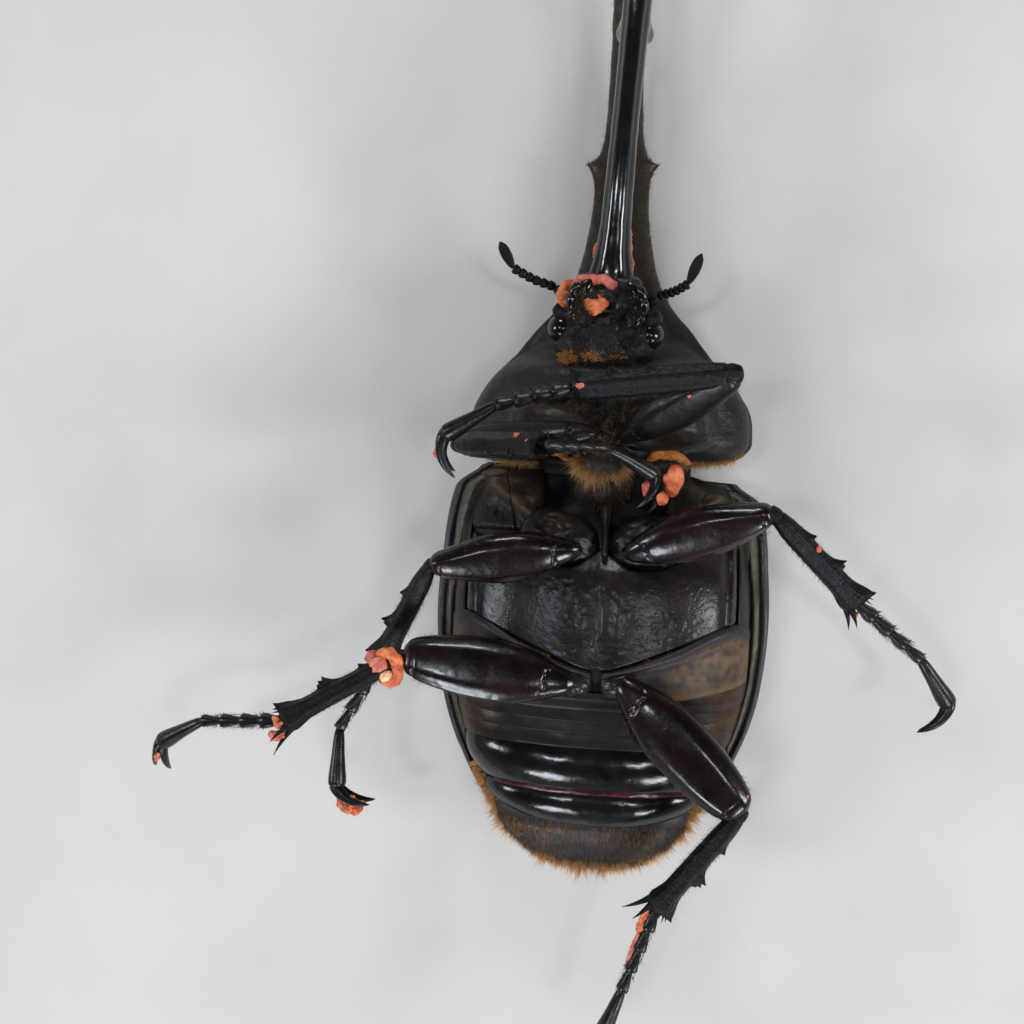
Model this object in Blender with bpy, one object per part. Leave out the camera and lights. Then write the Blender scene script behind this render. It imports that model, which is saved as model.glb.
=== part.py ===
"""Hercules beetle, a major male at life size, lying on its back on a flat surface.

The beetle is modelled in millimetres in its own frame: X runs to its left side, Y from
tail to horns, Z from its back to its belly, with the level that it lies on at Z = 0.
The finished objects are scaled to metres and moved, so that the origin is the middle of
the underside of the model's box.
"""
import math

import bmesh
import bpy
from mathutils import Matrix, Vector

MM = 0.001
GAP = 0.3                       # clearance between touching pieces
MIDDLE = (-6.8, 23.2)           # X and Y of the middle of the finished model's box

# Trunk, seen from above: Y, half width over the elytra, Z of the back on the midline
HULL = ((12.0, 17.6, 3.6), (9.0, 19.2, 1.7), (5.0, 20.2, 0.5), (0.0, 20.7, -0.2),
        (-6.4, 21.1, -0.4), (-15.4, 20.5, -0.4), (-21.8, 18.9, -0.1), (-27.6, 16.3, 1.3),
        (-31.0, 14.2, 3.2), (-34.0, 11.7, 6.2), (-36.6, 8.8, 10.2), (-38.6, 5.4, 13.0))
HULL_POWER = 2.3                # squareness of the back's cross-section
RIM_Z = 14.0                    # level of the elytral margins
SHELL = 1.0                     # thickness of the elytra over the back
CORE_ROOM = 0.55                # room between the elytra and the body under them
LIP = ((12.0, 2.9), (4.0, 2.2), (-8.0, 1.5), (-30.0, 1.1), (-36.0, 0.8), (-37.0, 0.8))
BEAD = 1.0                      # height of the bead along the elytral margin
ELYTRA_FRONT, ELYTRA_BACK = 11.6, -36.2

# Underside of the trunk on the midline: Y, Z
BELLY = ((11.6, 17.6), (9.4, 20.4), (6.0, 21.9), (2.0, 23.2), (-1.5, 25.2), (-6.0, 25.6),
         (-12.0, 25.5), (-16.6, 24.6), (-18.0, 23.4), (-22.0, 23.0), (-28.1, 21.9),
         (-33.4, 20.0), (-36.0, 18.6), (-38.2, 17.0), (-39.3, 15.6))
BELLY_POWER = 2.35
STERNITES = (-18.4, -20.0, -22.2, -28.1)    # Y of the steps between the belly's plates
STERNITE_STEP = 0.3
THORAX_BACK = -16.6             # the abdomen begins behind this
ABDOMEN_BACK = -33.4            # and the pygidium behind this
PYGIDIUM = ((-33.7, 9.7, 9.4), (-35.2, 8.6, 11.0), (-36.3, 7.4, 12.0), (-36.7, 8.8, 10.4),
            (-37.6, 8.0, 11.2), (-38.6, 6.3, 12.4), (-39.3, 4.2, 13.6),
            (-39.7, 2.0, 14.8))    # Y, half width, lowest Z

# Prothorax: Y, half width, Z of the back, of the side edge and of the underside
PRONOTUM = ((12.0, 14.6, 4.6, 12.2, 18.6), (13.2, 16.9, 3.2, 12.0, 20.2),
            (15.6, 18.1, 1.6, 11.8, 21.2), (19.0, 17.8, 0.3, 11.5, 21.6),
            (22.0, 16.2, -0.5, 11.2, 21.4), (23.8, 14.8, -0.6, 11.0, 20.4),
            (25.0, 13.6, -0.6, 10.8, 17.6), (26.4, 12.4, -0.6, 10.5, 14.2),
            (28.2, 11.1, -0.6, 10.2, 12.4), (31.0, 9.0, -0.4, 9.3, 11.6),
            (33.6, 7.3, 0.1, 8.2, 11.0))
PRONOTUM_POWER = 2.35

# Thoracic horn: Y, half width, Z of the upper and lower edge as the beetle lies
THORACIC_HORN = ((33.9, 7.2, 0.2, 11.0), (38.0, 5.5, 0.3, 10.0), (43.0, 4.4, 0.35, 9.0),
                 (48.0, 3.7, 0.5, 8.2), (53.0, 3.2, 0.7, 7.6), (58.0, 2.6, 1.1, 7.4),
                 (65.0, 2.3, 2.0, 7.8), (75.0, 2.25, 3.6, 8.8), (85.0, 2.25, 5.8, 10.6),
                 (95.0, 2.2, 8.8, 13.2), (103.0, 1.8, 12.2, 16.0), (108.0, 1.25, 15.0, 18.0),
                 (110.4, 0.7, 17.0, 18.9), (111.2, 0.3, 17.9, 18.9))
HORN_TOOTH = (53.2, 5.8, 6.3, 2.2)   # Y, X and Z of the tip of the side teeth, root radius

# Head, in its own frame on the midline: Y, half width, lowest and highest Z
HEAD = ((21.6, 3.0, 13.4, 17.2), (23.0, 4.6, 11.9, 19.0), (24.6, 5.7, 11.1, 20.2),
        (26.4, 6.3, 10.9, 20.9), (28.4, 6.3, 11.2, 21.0), (30.4, 5.7, 12.0, 20.7),
        (32.4, 4.9, 12.8, 20.4), (34.2, 4.2, 13.5, 20.0), (35.5, 3.5, 14.2, 19.6),
        (36.2, 2.7, 14.9, 19.2))
HEAD_PIVOT = Vector((-1.4, 20.0, 0.0))
HEAD_YAW = math.radians(-3.0)
EYE_AT = Vector((5.45, 28.4, 16.7))
EYE_RADIUS = 2.1

# Head horn in the head's frame: Y, Z of its middle, half width, half height
HEAD_HORN = ((35.6, 17.0, 2.4, 2.2), (40.0, 18.6, 2.05, 2.3), (48.0, 20.4, 1.75, 2.3),
             (56.0, 21.0, 1.65, 2.25), (64.0, 20.6, 1.75, 2.25), (69.0, 19.8, 1.8, 2.15),
             (74.0, 18.4, 1.6, 1.9), (79.0, 16.6, 1.2, 1.5), (84.0, 14.4, 0.8, 1.0),
             (86.4, 13.0, 0.45, 0.55), (87.2, 12.5, 0.25, 0.3))
HORN_KNOBS = ((66.0, 16.4, 1.5), (77.0, 14.6, 1.0))     # Y and Z of the tip, root radius

# Antennae: head end, elbow, start and end of the club
ANTENNA = {"left": ((3.0, 30.8, 16.4), (5.4, 33.2, 17.2), (9.0, 34.5, 18.5), (10.4, 38.0, 19.6)),
           "right": ((-4.2, 31.0, 16.4), (-7.6, 34.0, 17.2), (-12.9, 36.0, 18.5), (-14.6, 39.0, 19.6))}
MANDIBLE = ((2.6, 31.0, 19.4), (3.5, 33.6, 20.6), (2.5, 35.8, 21.2))
PALP = ((3.7, 29.4, 20.2), (4.9, 31.2, 21.5), (4.9, 33.2, 22.0), (4.1, 34.8, 22.2))

# Legs: hip of the left side, then for both sides the azimuth and elevation of each
# stretch: femur, tibia, first four tarsomeres, fifth, claws' first and second half
LENGTHS = {"fore": (16.4, 18.5, 9.1, 7.5, 3.1, 3.3),
           "mid": (17.2, 15.8, 11.0, 7.4, 2.6, 3.0),
           "hind": (19.8, 16.4, 11.8, 8.0, 2.6, 3.0)}
HIPS = {"fore": (2.2, 15.2, 22.6), "mid": (3.4, 1.2, 25.2), "hind": (3.4, -14.6, 25.4)}
POSE = {("fore", "left"): ((29, 34), (-174, -6), (-166, -5), (-150, -17), (-115, -19), (-39, -24)),
        ("fore", "right"): ((-174, -6), (-3, 50), (3, -43), (-26, -30), (-73, 36), (-141, -28)),
        ("mid", "left"): ((19, 14), (-43, -20), (-38, -17), (-53, -21), (-102, -2), (-157, -18)),
        ("mid", "right"): ((-171, 1), (-119, -26), (-119, -1), (-88, 6), (-44, 2), (10, 9)),
        ("hind", "left"): ((-44, 2), (-125, -12), (-108, -9), (-108, -16), (-117, 2), (-131, -30)),
        ("hind", "right"): ((174, 1), (-149, 9), (-173, -16), (-150, -22), (-100, -9), (-107, -61))}
# Half width and half thickness of a femur; half width of a tibia at its middle, its half
# thickness, its half width at the ankle, and at the knee as a share of the first
FEMUR = {"fore": (2.6, 1.8), "mid": (3.05, 1.9), "hind": (3.7, 2.0)}
TIBIA = {"fore": (1.6, 1.2, 1.55, 0.85), "mid": (1.5, 1.2, 2.1, 0.6), "hind": (1.5, 1.2, 2.1, 0.6)}
FACING = {"fore": 0.9, "mid": 0.35, "hind": 0.5}    # how far a leg's flat side turns to the belly
SPURS = {"fore": (3.0,), "mid": (3.4, 2.8), "hind": (4.0, 3.4)}
# Outer teeth of a tibia: place along it, height
TIBIA_TEETH = {"fore": ((0.5, 1.2), (0.73, 1.6), (0.95, 2.0)),
               "mid": ((0.32, 0.9), (0.6, 1.3), (0.66, 0.9), (0.96, 1.5)),
               "hind": ((0.3, 0.8), (0.55, 1.3), (0.61, 0.9), (0.96, 1.6))}
COXA = {"fore": ((6.1, 16.4, 19.5), (5.6, 2.8, 3.0), 6.0),
        "mid": ((5.2, 2.4, 22.7), (4.7, 3.2, 2.8), 14.0)}    # centre, half axes, turn in degrees
# Hind coxa's plate, seen from above on the left: its corners, and the depth of the plate
HIND_PLATE = ((0.15, -13.1), (5.5, -12.6), (17.2, -6.6), (24.0, -3.4), (24.0, -13.6),
              (17.5, -14.6), (11.0, -16.3), (0.15, -16.3))
HIND_PLATE_Z = 19.6

COLOURS = {"shell": ((0.020, 0.016, 0.013), 0.28), "elytra": ((0.16, 0.15, 0.07), 0.35),
           "leg": ((0.022, 0.012, 0.010), 0.22), "horn": ((0.010, 0.009, 0.009), 0.15),
           "eye": ((0.012, 0.010, 0.008), 0.10), "belly": ((0.035, 0.024, 0.018), 0.30)}

for stale in list(bpy.data.objects):
    bpy.data.objects.remove(stale, do_unlink=True)
beetle = bpy.data.collections.new("hercules_beetle")
cutters = bpy.data.collections.new("cutters")
for group in (beetle, cutters):
    bpy.context.scene.collection.children.link(group)


# Curves through a few stations

def smooth(table, at):
    """The row of a table, first column its position, at a place between its rows."""
    rows = sorted(table)
    at = min(max(at, rows[0][0]), rows[-1][0])
    i = max(k for k in range(len(rows) - 1) if rows[k][0] <= at)
    before, here, there, after = rows[max(i - 1, 0)], rows[i], rows[i + 1], rows[min(i + 2, len(rows) - 1)]
    span = there[0] - here[0]
    t = (at - here[0]) / span
    values = []
    for a, b, c, d in zip(before[1:], here[1:], there[1:], after[1:]):
        slope_in = (c - a) / (there[0] - before[0])
        slope_out = (d - b) / (after[0] - here[0])
        step = (c - b) / span
        if step == 0.0 or (b - a) * step < 0.0:
            slope_in = 0.0
        if step == 0.0 or (d - c) * step < 0.0:
            slope_out = 0.0
        limit = 3.0 * abs(step)
        slope_in = math.copysign(min(abs(slope_in), limit), step)
        slope_out = math.copysign(min(abs(slope_out), limit), step)
        values.append(b * (1 + 2 * t) * (1 - t) ** 2 + slope_in * span * t * (1 - t) ** 2
                      + c * t * t * (3 - 2 * t) - slope_out * span * t * t * (1 - t))
    return values


def places(start, end, count):
    """Evenly spaced numbers, both ends included."""
    return [start + (end - start) * k / (count - 1) for k in range(count)]


def aim(azimuth, elevation):
    """Unit vector from two angles in degrees."""
    a, e = math.radians(azimuth), math.radians(elevation)
    return Vector((math.cos(a) * math.cos(e), math.sin(a) * math.cos(e), math.sin(e)))


def power_point(angle, power):
    """Point of a unit superellipse."""
    c, s = math.cos(angle), math.sin(angle)
    return (math.copysign(abs(c) ** (2 / power), c), math.copysign(abs(s) ** (2 / power), s))


def ring(centre, across, up, half_width, rise, drop, power=2.0, count=12, floor=None):
    """Closed cross-section: a superellipse with unlike upper and lower halves."""
    points = []
    for k in range(count):
        u, v = power_point(2 * math.pi * k / count, power)
        point = centre + across * (half_width * u) + up * ((rise if v > 0 else drop) * v)
        if floor is not None:
            point.z = max(point.z, floor)
        points.append(point)
    return points


# Mesh tools

def new_object(name, bm, group=cutters):
    bmesh.ops.recalc_face_normals(bm, faces=bm.faces)
    mesh = bpy.data.meshes.new(name)
    bm.to_mesh(mesh)
    bm.free()
    obj = bpy.data.objects.new(name, mesh)
    group.objects.link(obj)
    if group is cutters:
        obj.hide_render = True
        obj.display_type = "WIRE"
    return obj


def loft(name, rings):
    """Closed skin over a row of like-numbered rings."""
    bm = bmesh.new()
    loops = [[bm.verts.new(point) for point in points] for points in rings]
    for near, far in zip(loops, loops[1:]):
        for k in range(len(near)):
            nxt = (k + 1) % len(near)
            bm.faces.new((near[k], near[nxt], far[nxt], far[k]))
    bm.faces.new(list(reversed(loops[0])))
    bm.faces.new(loops[-1])
    bmesh.ops.triangulate(bm, faces=bm.faces)
    return new_object(name, bm)


def limb(name, path, halves, normal, power=2.2, count=10):
    """Skin along a path, flattened across the normal; halves holds width and thickness."""
    rings = []
    for k, (point, (width, thick)) in enumerate(zip(path, halves)):
        along = (path[min(k + 1, len(path) - 1)] - path[max(k - 1, 0)]).normalized()
        across = along.cross(normal).normalized()
        up = across.cross(along).normalized()
        rings.append(ring(point, across, up, width, thick, thick, power, count))
    return loft(name, rings)


def spike(name, root, tip, radius, sides=4, tip_radius=0.12):
    """Tapered spine from root to tip."""
    root, tip = Vector(root), Vector(tip)
    side = (tip - root).orthogonal().normalized()
    return limb(name, [root, tip], [(radius, radius), (tip_radius, tip_radius)], side, 2.0, sides)


def ellipsoid(name, centre, half_axes, turn=0.0, segments=12, rings=6):
    """Sphere primitive, stretched, turned about Z and set in place."""
    bm = bmesh.new()
    bmesh.ops.create_uvsphere(bm, u_segments=segments, v_segments=rings, radius=1.0)
    matrix = Matrix.Translation(centre) @ Matrix.Rotation(math.radians(turn), 4, "Z")
    bmesh.ops.transform(bm, matrix=matrix @ Matrix.Diagonal((*half_axes, 1.0)), verts=bm.verts)
    bmesh.ops.triangulate(bm, faces=bm.faces)
    return new_object(name, bm)


def block(name, corners, low, high):
    """Upright prism over a polygon in the XY plane."""
    return loft(name, [[Vector((x, y, z)) for x, y in corners] for z in (low, high)])


def slab(name, y_from, y_to):
    """Block across the whole beetle between two cross planes."""
    return block(name, ((-90, y_from), (90, y_from), (90, y_to), (-90, y_to)), -20.0, 60.0)


def grown(obj, gap=GAP):
    """Copy of an object with its faces moved out by the gap."""
    bm = bmesh.new()
    bm.from_mesh(obj.data)
    bm.normal_update()
    moves = [vert.normal * (gap * min(vert.calc_shell_factor(), 1.6)) for vert in bm.verts]
    for vert, move in zip(bm.verts, moves):
        vert.co += move
    return new_object(obj.name + "_room", bm)


def keep_largest(mesh):
    """Drop every closed surface of the mesh but the one of largest volume."""
    bm = bmesh.new()
    bm.from_mesh(mesh)
    bmesh.ops.dissolve_degenerate(bm, edges=bm.edges, dist=1e-6)
    bmesh.ops.triangulate(bm, faces=bm.faces)
    unseen = set(bm.faces)
    islands = []
    while unseen:
        stack, island = [unseen.pop()], []
        while stack:
            face = stack.pop()
            island.append(face)
            for edge in face.edges:
                for other in edge.link_faces:
                    if other in unseen:
                        unseen.remove(other)
                        stack.append(other)
        volume = sum(f.verts[0].co.dot(f.verts[1].co.cross(f.verts[2].co)) for f in island)
        islands.append((abs(volume), len(islands), island))
    largest = max(islands)[2]
    keep = set(largest)
    bmesh.ops.delete(bm, geom=[face for face in bm.faces if face not in keep], context="FACES")
    bm.to_mesh(mesh)
    bm.free()


def boolean(obj, operation, others, solver="EXACT"):
    """Join, cut or intersect an object with several others, which are used up."""
    tools = bpy.data.collections.new("tools")
    bpy.context.scene.collection.children.link(tools)
    for other in others:
        tools.objects.link(other)
    modifier = obj.modifiers.new("boolean", "BOOLEAN")
    modifier.operation = operation
    modifier.solver = solver
    modifier.operand_type = "COLLECTION"
    modifier.collection = tools
    graph = bpy.context.evaluated_depsgraph_get()
    mesh = bpy.data.meshes.new_from_object(obj.evaluated_get(graph), depsgraph=graph)
    obj.modifiers.clear()
    obj.data = mesh
    for other in others:
        bpy.data.objects.remove(other, do_unlink=True)
    bpy.data.collections.remove(tools)
    keep_largest(obj.data)
    return obj


def join(obj, pieces):
    return boolean(obj, "UNION", pieces)


def cut(obj, pieces):
    return boolean(obj, "DIFFERENCE", pieces)


def part(obj, tool):
    return boolean(obj, "INTERSECT", [tool])


def twin(obj, name):
    """A second object with a mesh of its own."""
    other = bpy.data.objects.new(name, obj.data.copy())
    cutters.objects.link(other)
    return other


def turn_head(obj):
    """From the head's own frame to the beetle's."""
    matrix = (Matrix.Translation(HEAD_PIVOT) @ Matrix.Rotation(HEAD_YAW, 4, "Z")
              @ Matrix.Translation((0, -HEAD_PIVOT.y, 0)))
    obj.data.transform(matrix)
    return obj


X, Y, Z = Vector((1, 0, 0)), Vector((0, 1, 0)), Vector((0, 0, 1))


# Trunk

def hull(y):
    """Half width over the elytra and level of the back, with the slope of each."""
    here, ahead, behind = (smooth(HULL, y + d) for d in (0.0, 0.2, -0.2))
    return here, [(a - b) / 0.4 for a, b in zip(ahead, behind)]


def elytra_inner(y):
    """Half width and lowest level of the room under the elytra."""
    (width, back), (width_slope, back_slope) = hull(y)
    lip = smooth(LIP, y)[0]
    return (width - lip * math.hypot(1, width_slope),
            max(back, 0.0) + SHELL * math.hypot(1, back_slope))


def elytron_section(y, side):
    """Cross-section of one wing case: outer face, bead along the margin, inner face."""
    width, back = hull(y)[0]
    inner_width, inner_back = elytra_inner(y)
    seam = GAP / 2
    quarter = [power_point(a, HULL_POWER) for a in places(-math.pi / 2, 0.0, 9)]
    outer = [(max(width * u, seam), max(RIM_Z + (RIM_Z - back) * v, 0.0))
             for u, v in quarter]
    inner = [(max(inner_width * u, seam), RIM_Z + (RIM_Z - inner_back) * v) for u, v in quarter]
    lip = width - inner_width
    bead = [(width + 0.1, RIM_Z + BEAD * 0.45), (width - 0.35 * lip, RIM_Z + BEAD),
            (width - 0.85 * lip, RIM_Z + BEAD * 0.8)]
    return [Vector((side * x, y, z)) for x, z in outer + bead + inner[::-1]]


def elytron(side, name):
    steps = places(ELYTRA_FRONT, 5.0, 3) + places(0.0, -28.0, 5) + places(-30.5, ELYTRA_BACK, 5)
    return loft(name, [elytron_section(y, side) for y in steps])


def core_ring(y, width, back, belly):
    return ring(Vector((0, y, RIM_Z)), X, Z, width, belly - RIM_Z, RIM_Z - back, BELLY_POWER, 24)


def trunk_core():
    """Body under the elytra, from the neck to the last belly plate."""
    steps = [ELYTRA_FRONT - 0.1, 10.4, 9.0, 5.0, 1.5, -0.7, -3.0, -8.0, -13.0, THORAX_BACK]
    sections = [(y, 0.0) for y in steps]
    for line, after in zip(STERNITES, STERNITES[1:] + (ABDOMEN_BACK,)):
        sections += [(line + 0.2, 0.0), (line - 0.2, -STERNITE_STEP)]
        if line - after > 4.0:
            sections.append(((line + after) / 2, -STERNITE_STEP / 2))
    sections.append((ABDOMEN_BACK - 0.6, 0.0))
    rings = []
    for y, step in sections:
        inner_width, inner_back = elytra_inner(y)
        neck = min(1.0, 0.62 + 0.19 * max(ELYTRA_FRONT - y, 0.0))
        width = (inner_width - CORE_ROOM) * neck
        back = RIM_Z - (RIM_Z - inner_back - CORE_ROOM) * neck
        rings.append(core_ring(y, width, back, smooth(BELLY, y)[0] + step))
    return loft("trunk", rings)


def pygidium():
    """Rounded last plate of the body, behind and between the wing cases' tips."""
    return loft("pygidium", [core_ring(y, width, back, smooth(BELLY, y)[0])
                             for y, width, back in PYGIDIUM])


def scutellum():
    """Small triangular plate between the roots of the wing cases."""
    rings = []
    for y, half in ((11.7, 2.7), (9.0, 1.9), (6.6, 0.8), (5.8, 0.3)):
        level = max(hull(y)[0][1], 0.0)
        centre = Vector((0, y, level + 0.6))
        rings.append(ring(centre, X, Z, half, 0.9, 0.55, 3.0, 8, 0.0))
    return loft("scutellum", rings)


# Prothorax and its horn

def prothorax():
    steps = [12.0, 13.2, 15.2, 18.4, 21.8, 23.4, 24.4, 25.2, 26.2, 27.6, 30.4, 33.6]
    rings = []
    for y in steps:
        width, back, edge, belly = smooth(PRONOTUM, y)
        rings.append(ring(Vector((0, y, edge)), X, Z, width, belly - edge, edge - back,
                          PRONOTUM_POWER, 24, 0.0))
    return loft("pronotum", rings)


def thoracic_horn():
    steps = places(33.9, 53.0, 6) + places(58.0, 98.0, 7) + [103.0, 107.0, 109.6, 111.2]
    rings = []
    for y in steps:
        width, low, high = smooth(THORACIC_HORN, y)
        middle = (low + high) / 2
        rings.append(ring(Vector((0, y, middle)), X, Z, width, high - middle, middle - low, 2.3, 14, 0.0))
    horn = loft("thoracic_horn", rings)
    y, x, z, radius = HORN_TOOTH
    teeth = [spike("tooth", (side * 1.3, y - 1.2, z - 1.3), (side * x, y + 0.5, z), radius, sides=8)
             for side in (-1, 1)]
    return join(horn, teeth)


# Head

def head_capsule():
    rings = []
    for y in [row[0] for row in HEAD]:
        width, low, high = smooth(HEAD, y)
        middle = (low + high) / 2
        rings.append(ring(Vector((0, y, middle)), X, Z, width, high - middle, middle - low, 2.4, 16))
    capsule = loft("head", rings)
    mentum = ellipsoid("mentum", (0, 28.6, 20.4), (2.6, 4.0, 1.4))
    return turn_head(join(capsule, [mentum]))


def head_horn():
    steps = [HEAD_HORN[0][0]] + places(40.0, 84.0, 12) + [86.4, 87.2]
    path, halves = [], []
    for y in steps:
        z, width, height = smooth(HEAD_HORN, y)
        path.append(Vector((0, y, z)))
        halves.append((width, height))
    horn = limb("head_horn", path, halves, Z, 2.2, 12)
    knobs = []
    for y, z, radius in HORN_KNOBS:
        middle = smooth(HEAD_HORN, y)[0]
        knobs.append(spike("knob", (0, y - 1.0, middle - 0.8), (0, y + 0.4, z), radius, sides=7))
    return turn_head(join(horn, knobs))


def eye(side, name):
    centre = Vector((side * EYE_AT.x, EYE_AT.y, EYE_AT.z))
    return turn_head(ellipsoid(name, centre, (EYE_RADIUS,) * 3))


def antenna(side_name):
    """Scape, beaded flagellum and three-leaved club."""
    root, elbow, club, tip = (Vector(p) for p in ANTENNA[side_name])
    path, halves = [], []
    for t, half in ((0.0, 0.42), (0.3, 0.5), (0.85, 0.62), (1.0, 0.4)):
        path.append(root.lerp(elbow, t))
        halves.append((half, half))
    beads = 5
    for k in range(beads):
        for t, half in ((0.2, 0.38), (0.55, 0.55), (0.85, 0.5), (0.98, 0.36)):
            path.append(elbow.lerp(club, (k + t) / beads))
            halves.append((half, half))
    for t, half in ((0.12, 0.62), (0.45, 0.85), (0.8, 0.75), (1.0, 0.35)):
        path.append(club.lerp(tip, t))
        halves.append((half, half * 0.75))
    return limb("antenna_" + side_name, path, halves, Z, 2.0, 6)


def mandible(side, name):
    path = [Vector((side * x, y, z)) for x, y, z in MANDIBLE]
    return turn_head(limb(name, [path[0], path[0].lerp(path[1], 0.55), path[1], path[2]],
                          [(1.0, 0.8), (1.1, 0.8), (0.9, 0.65), (0.35, 0.3)], Z, 2.0, 8))


def palp(side, name):
    path, halves = [], []
    points = [Vector((side * x, y, z)) for x, y, z in PALP]
    for near, far in zip(points, points[1:]):
        for t, half in ((0.1, 0.34), (0.6, 0.52), (0.92, 0.42)):
            path.append(near.lerp(far, t))
            halves.append((half, half))
    return turn_head(limb(name, path, halves, Z, 2.0, 6))


# Legs

def leg_points(pair, side_name):
    """Hip, knee, ankle, and the ends of the tarsus, its last joint and the claws."""
    x, y, z = HIPS[pair]
    points = [Vector((x if side_name == "left" else -x, y, z))]
    for length, (azimuth, elevation) in zip(LENGTHS[pair], POSE[pair, side_name]):
        points.append(points[-1] + aim(azimuth, elevation) * length)
    return points


def leg_normal(pair, points):
    """Thin way of a leg: the axis of its knee, turned some way to the belly's side."""
    axis = (points[1] - points[0]).cross(points[2] - points[1]).normalized()
    if axis.z < 0.0:
        axis.negate()
    return (axis + Z * FACING[pair]).normalized()


def femur(pair, side_name, points):
    """Broad flattened thigh, narrow at the hip and rounded at the knee."""
    width, thick = FEMUR[pair]
    outline = ((0.0, 0.5, 0.6), (0.08, 0.76, 0.8), (0.22, 0.96, 0.97), (0.38, 1.0, 1.0),
               (0.56, 0.94, 1.0), (0.76, 0.8, 0.95), (0.9, 0.68, 0.85), (0.97, 0.56, 0.7), (1.0, 0.34, 0.42))
    path = [points[0].lerp(points[1], t) for t, _, _ in outline]
    halves = [(width * w, thick * h) for _, w, h in outline]
    return limb(f"femur_{pair}_{side_name}", path, halves, leg_normal(pair, points), 2.3, 10)


def tibia_shaft(pair, side_name, points):
    """Shank: a narrow neck in the knee, then flat sides that widen to the ankle."""
    width, thick, foot, knee = TIBIA[pair]
    ankle = foot / width
    outline = ((-0.03, knee * 0.9, 0.7), (0.05, knee * 1.1, 0.85), (0.2, 1.0, 1.0), (0.5, 1.05, 1.0),
               (0.8, 0.5 + 0.55 * ankle, 1.05), (0.94, ankle, 1.1), (0.985, ankle * 0.85, 0.95))
    path = [points[1].lerp(points[2], t) for t, _, _ in outline]
    halves = [(width * w, thick * h) for _, w, h in outline]
    return limb(f"tibia_{pair}_{side_name}", path, halves, leg_normal(pair, points), 2.6, 8)


def tibia_trim(pair, points):
    """Outer teeth and the spurs at the ankle."""
    width, _, foot, _ = TIBIA[pair]
    along = (points[2] - points[1]).normalized()
    inward = (points[0] - points[1]) - along * (points[0] - points[1]).dot(along)
    outward = -inward.normalized()
    belly = leg_normal(pair, points)
    length = LENGTHS[pair][1]
    pieces = []
    for place, height in TIBIA_TEETH[pair]:
        local = width * 1.05 if place < 0.9 else foot * 0.9
        root = points[1].lerp(points[2], place) + outward * (local * 0.35)
        tip = points[1].lerp(points[2], place + 0.55 * height / length) + outward * (local + height)
        pieces.append(spike("tooth", root, tip, 0.95))
    for k, reach in enumerate(SPURS[pair]):
        root = points[1].lerp(points[2], 0.94) - outward * (foot * (0.7 - 0.2 * k)) + belly * (0.5 * k)
        lean = outward * (-0.55 + 0.25 * k) + belly * (0.1 + 0.5 * k)
        tip = root + (along + lean).normalized() * reach
        pieces.append(spike("spur", root, tip, 0.48))
    return pieces


def tarsus(pair, side_name, points):
    """Four short joints and a long one, each widest at its far end."""
    ankle, fourth, fifth = points[2], points[3], points[4]
    along = (fourth - ankle).normalized()
    path, halves = [ankle - along * 0.3], [(0.5, 0.5)]
    joints = 4
    for k in range(joints):
        size = 0.92 - 0.06 * k
        for t, half in ((0.12, 0.52), (0.82, 1.0), (0.97, 0.78)):
            path.append(ankle.lerp(fourth, (k + t) / joints))
            halves.append((size * half, size * half))
    for t, half in ((0.08, 0.45), (0.5, 0.58), (0.88, 0.85), (1.0, 0.6)):
        path.append(fourth.lerp(fifth, t))
        halves.append((half, half))
    return limb(f"tarsus_{pair}_{side_name}", path, halves, leg_normal(pair, points), 2.0, 6)


def claws(points):
    """Pair of curved hooks, splayed to both sides of the last joint."""
    root, middle, tip = points[4], points[5], points[6]
    across = (middle - root).cross(tip - middle)
    across = across.normalized() if across.length > 1e-6 else Z.copy()
    hooks = []
    for side in (-1, 1):
        path, halves = [], []
        for t, half in ((-0.12, 0.5), (0.25, 0.5), (0.65, 0.36), (1.0, 0.12)):
            point = root * (1 - t) ** 2 + middle * (2 * t * (1 - t)) + tip * t * t
            path.append(point + across * (side * (0.25 + 0.75 * t)))
            halves.append((half, half))
        hooks.append(limb("claw", path, halves, across, 2.0, 5))
    return hooks


def tarsus_spines(pair, points):
    """Short bristles under the far end of each small joint."""
    ankle, fourth = points[2], points[3]
    along = (fourth - ankle).normalized()
    inward = leg_normal(pair, points).cross(along).normalized()
    spines = []
    for k in range(1, 4):
        base = ankle.lerp(fourth, (k + 0.84) / 4)
        for side in (-1, 1):
            tip = base + inward * (side * 1.45) + along * 0.85
            spines.append(spike("bristle", base + inward * (side * 0.2), tip, 0.36))
    return spines


def coxa(pair, side_name):
    """Rounded hip joint set in the body's underside."""
    side = 1 if side_name == "left" else -1
    (x, y, z), half_axes, turn = COXA[pair]
    return ellipsoid(f"coxa_{pair}_{side_name}", (side * x, y, z), half_axes, side * turn)


def hind_plate_cell(side):
    corners = [(side * x, y) for x, y in HIND_PLATE]
    return block("cell", corners, HIND_PLATE_Z, 40.0)


# Assembly: a piece that sits in another is grown by the gap and cut out of it

nodes = {}


def keep(obj, colour):
    """Count an object as a finished node, with its material."""
    for mesh_holder in list(obj.users_collection):
        mesh_holder.objects.unlink(obj)
    beetle.objects.link(obj)
    obj.hide_render = False
    obj.display_type = "TEXTURED"
    rgb, roughness = COLOURS[colour]
    material = bpy.data.materials.new(obj.name)
    material.use_nodes = True
    shader = material.node_tree.nodes["Principled BSDF"]
    shader.inputs["Base Color"].default_value = (*rgb, 1.0)
    shader.inputs["Roughness"].default_value = roughness
    shader.inputs["Metallic"].default_value = 0.0
    obj.data.materials.clear()
    obj.data.materials.append(material)
    nodes[obj.name] = obj


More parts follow.
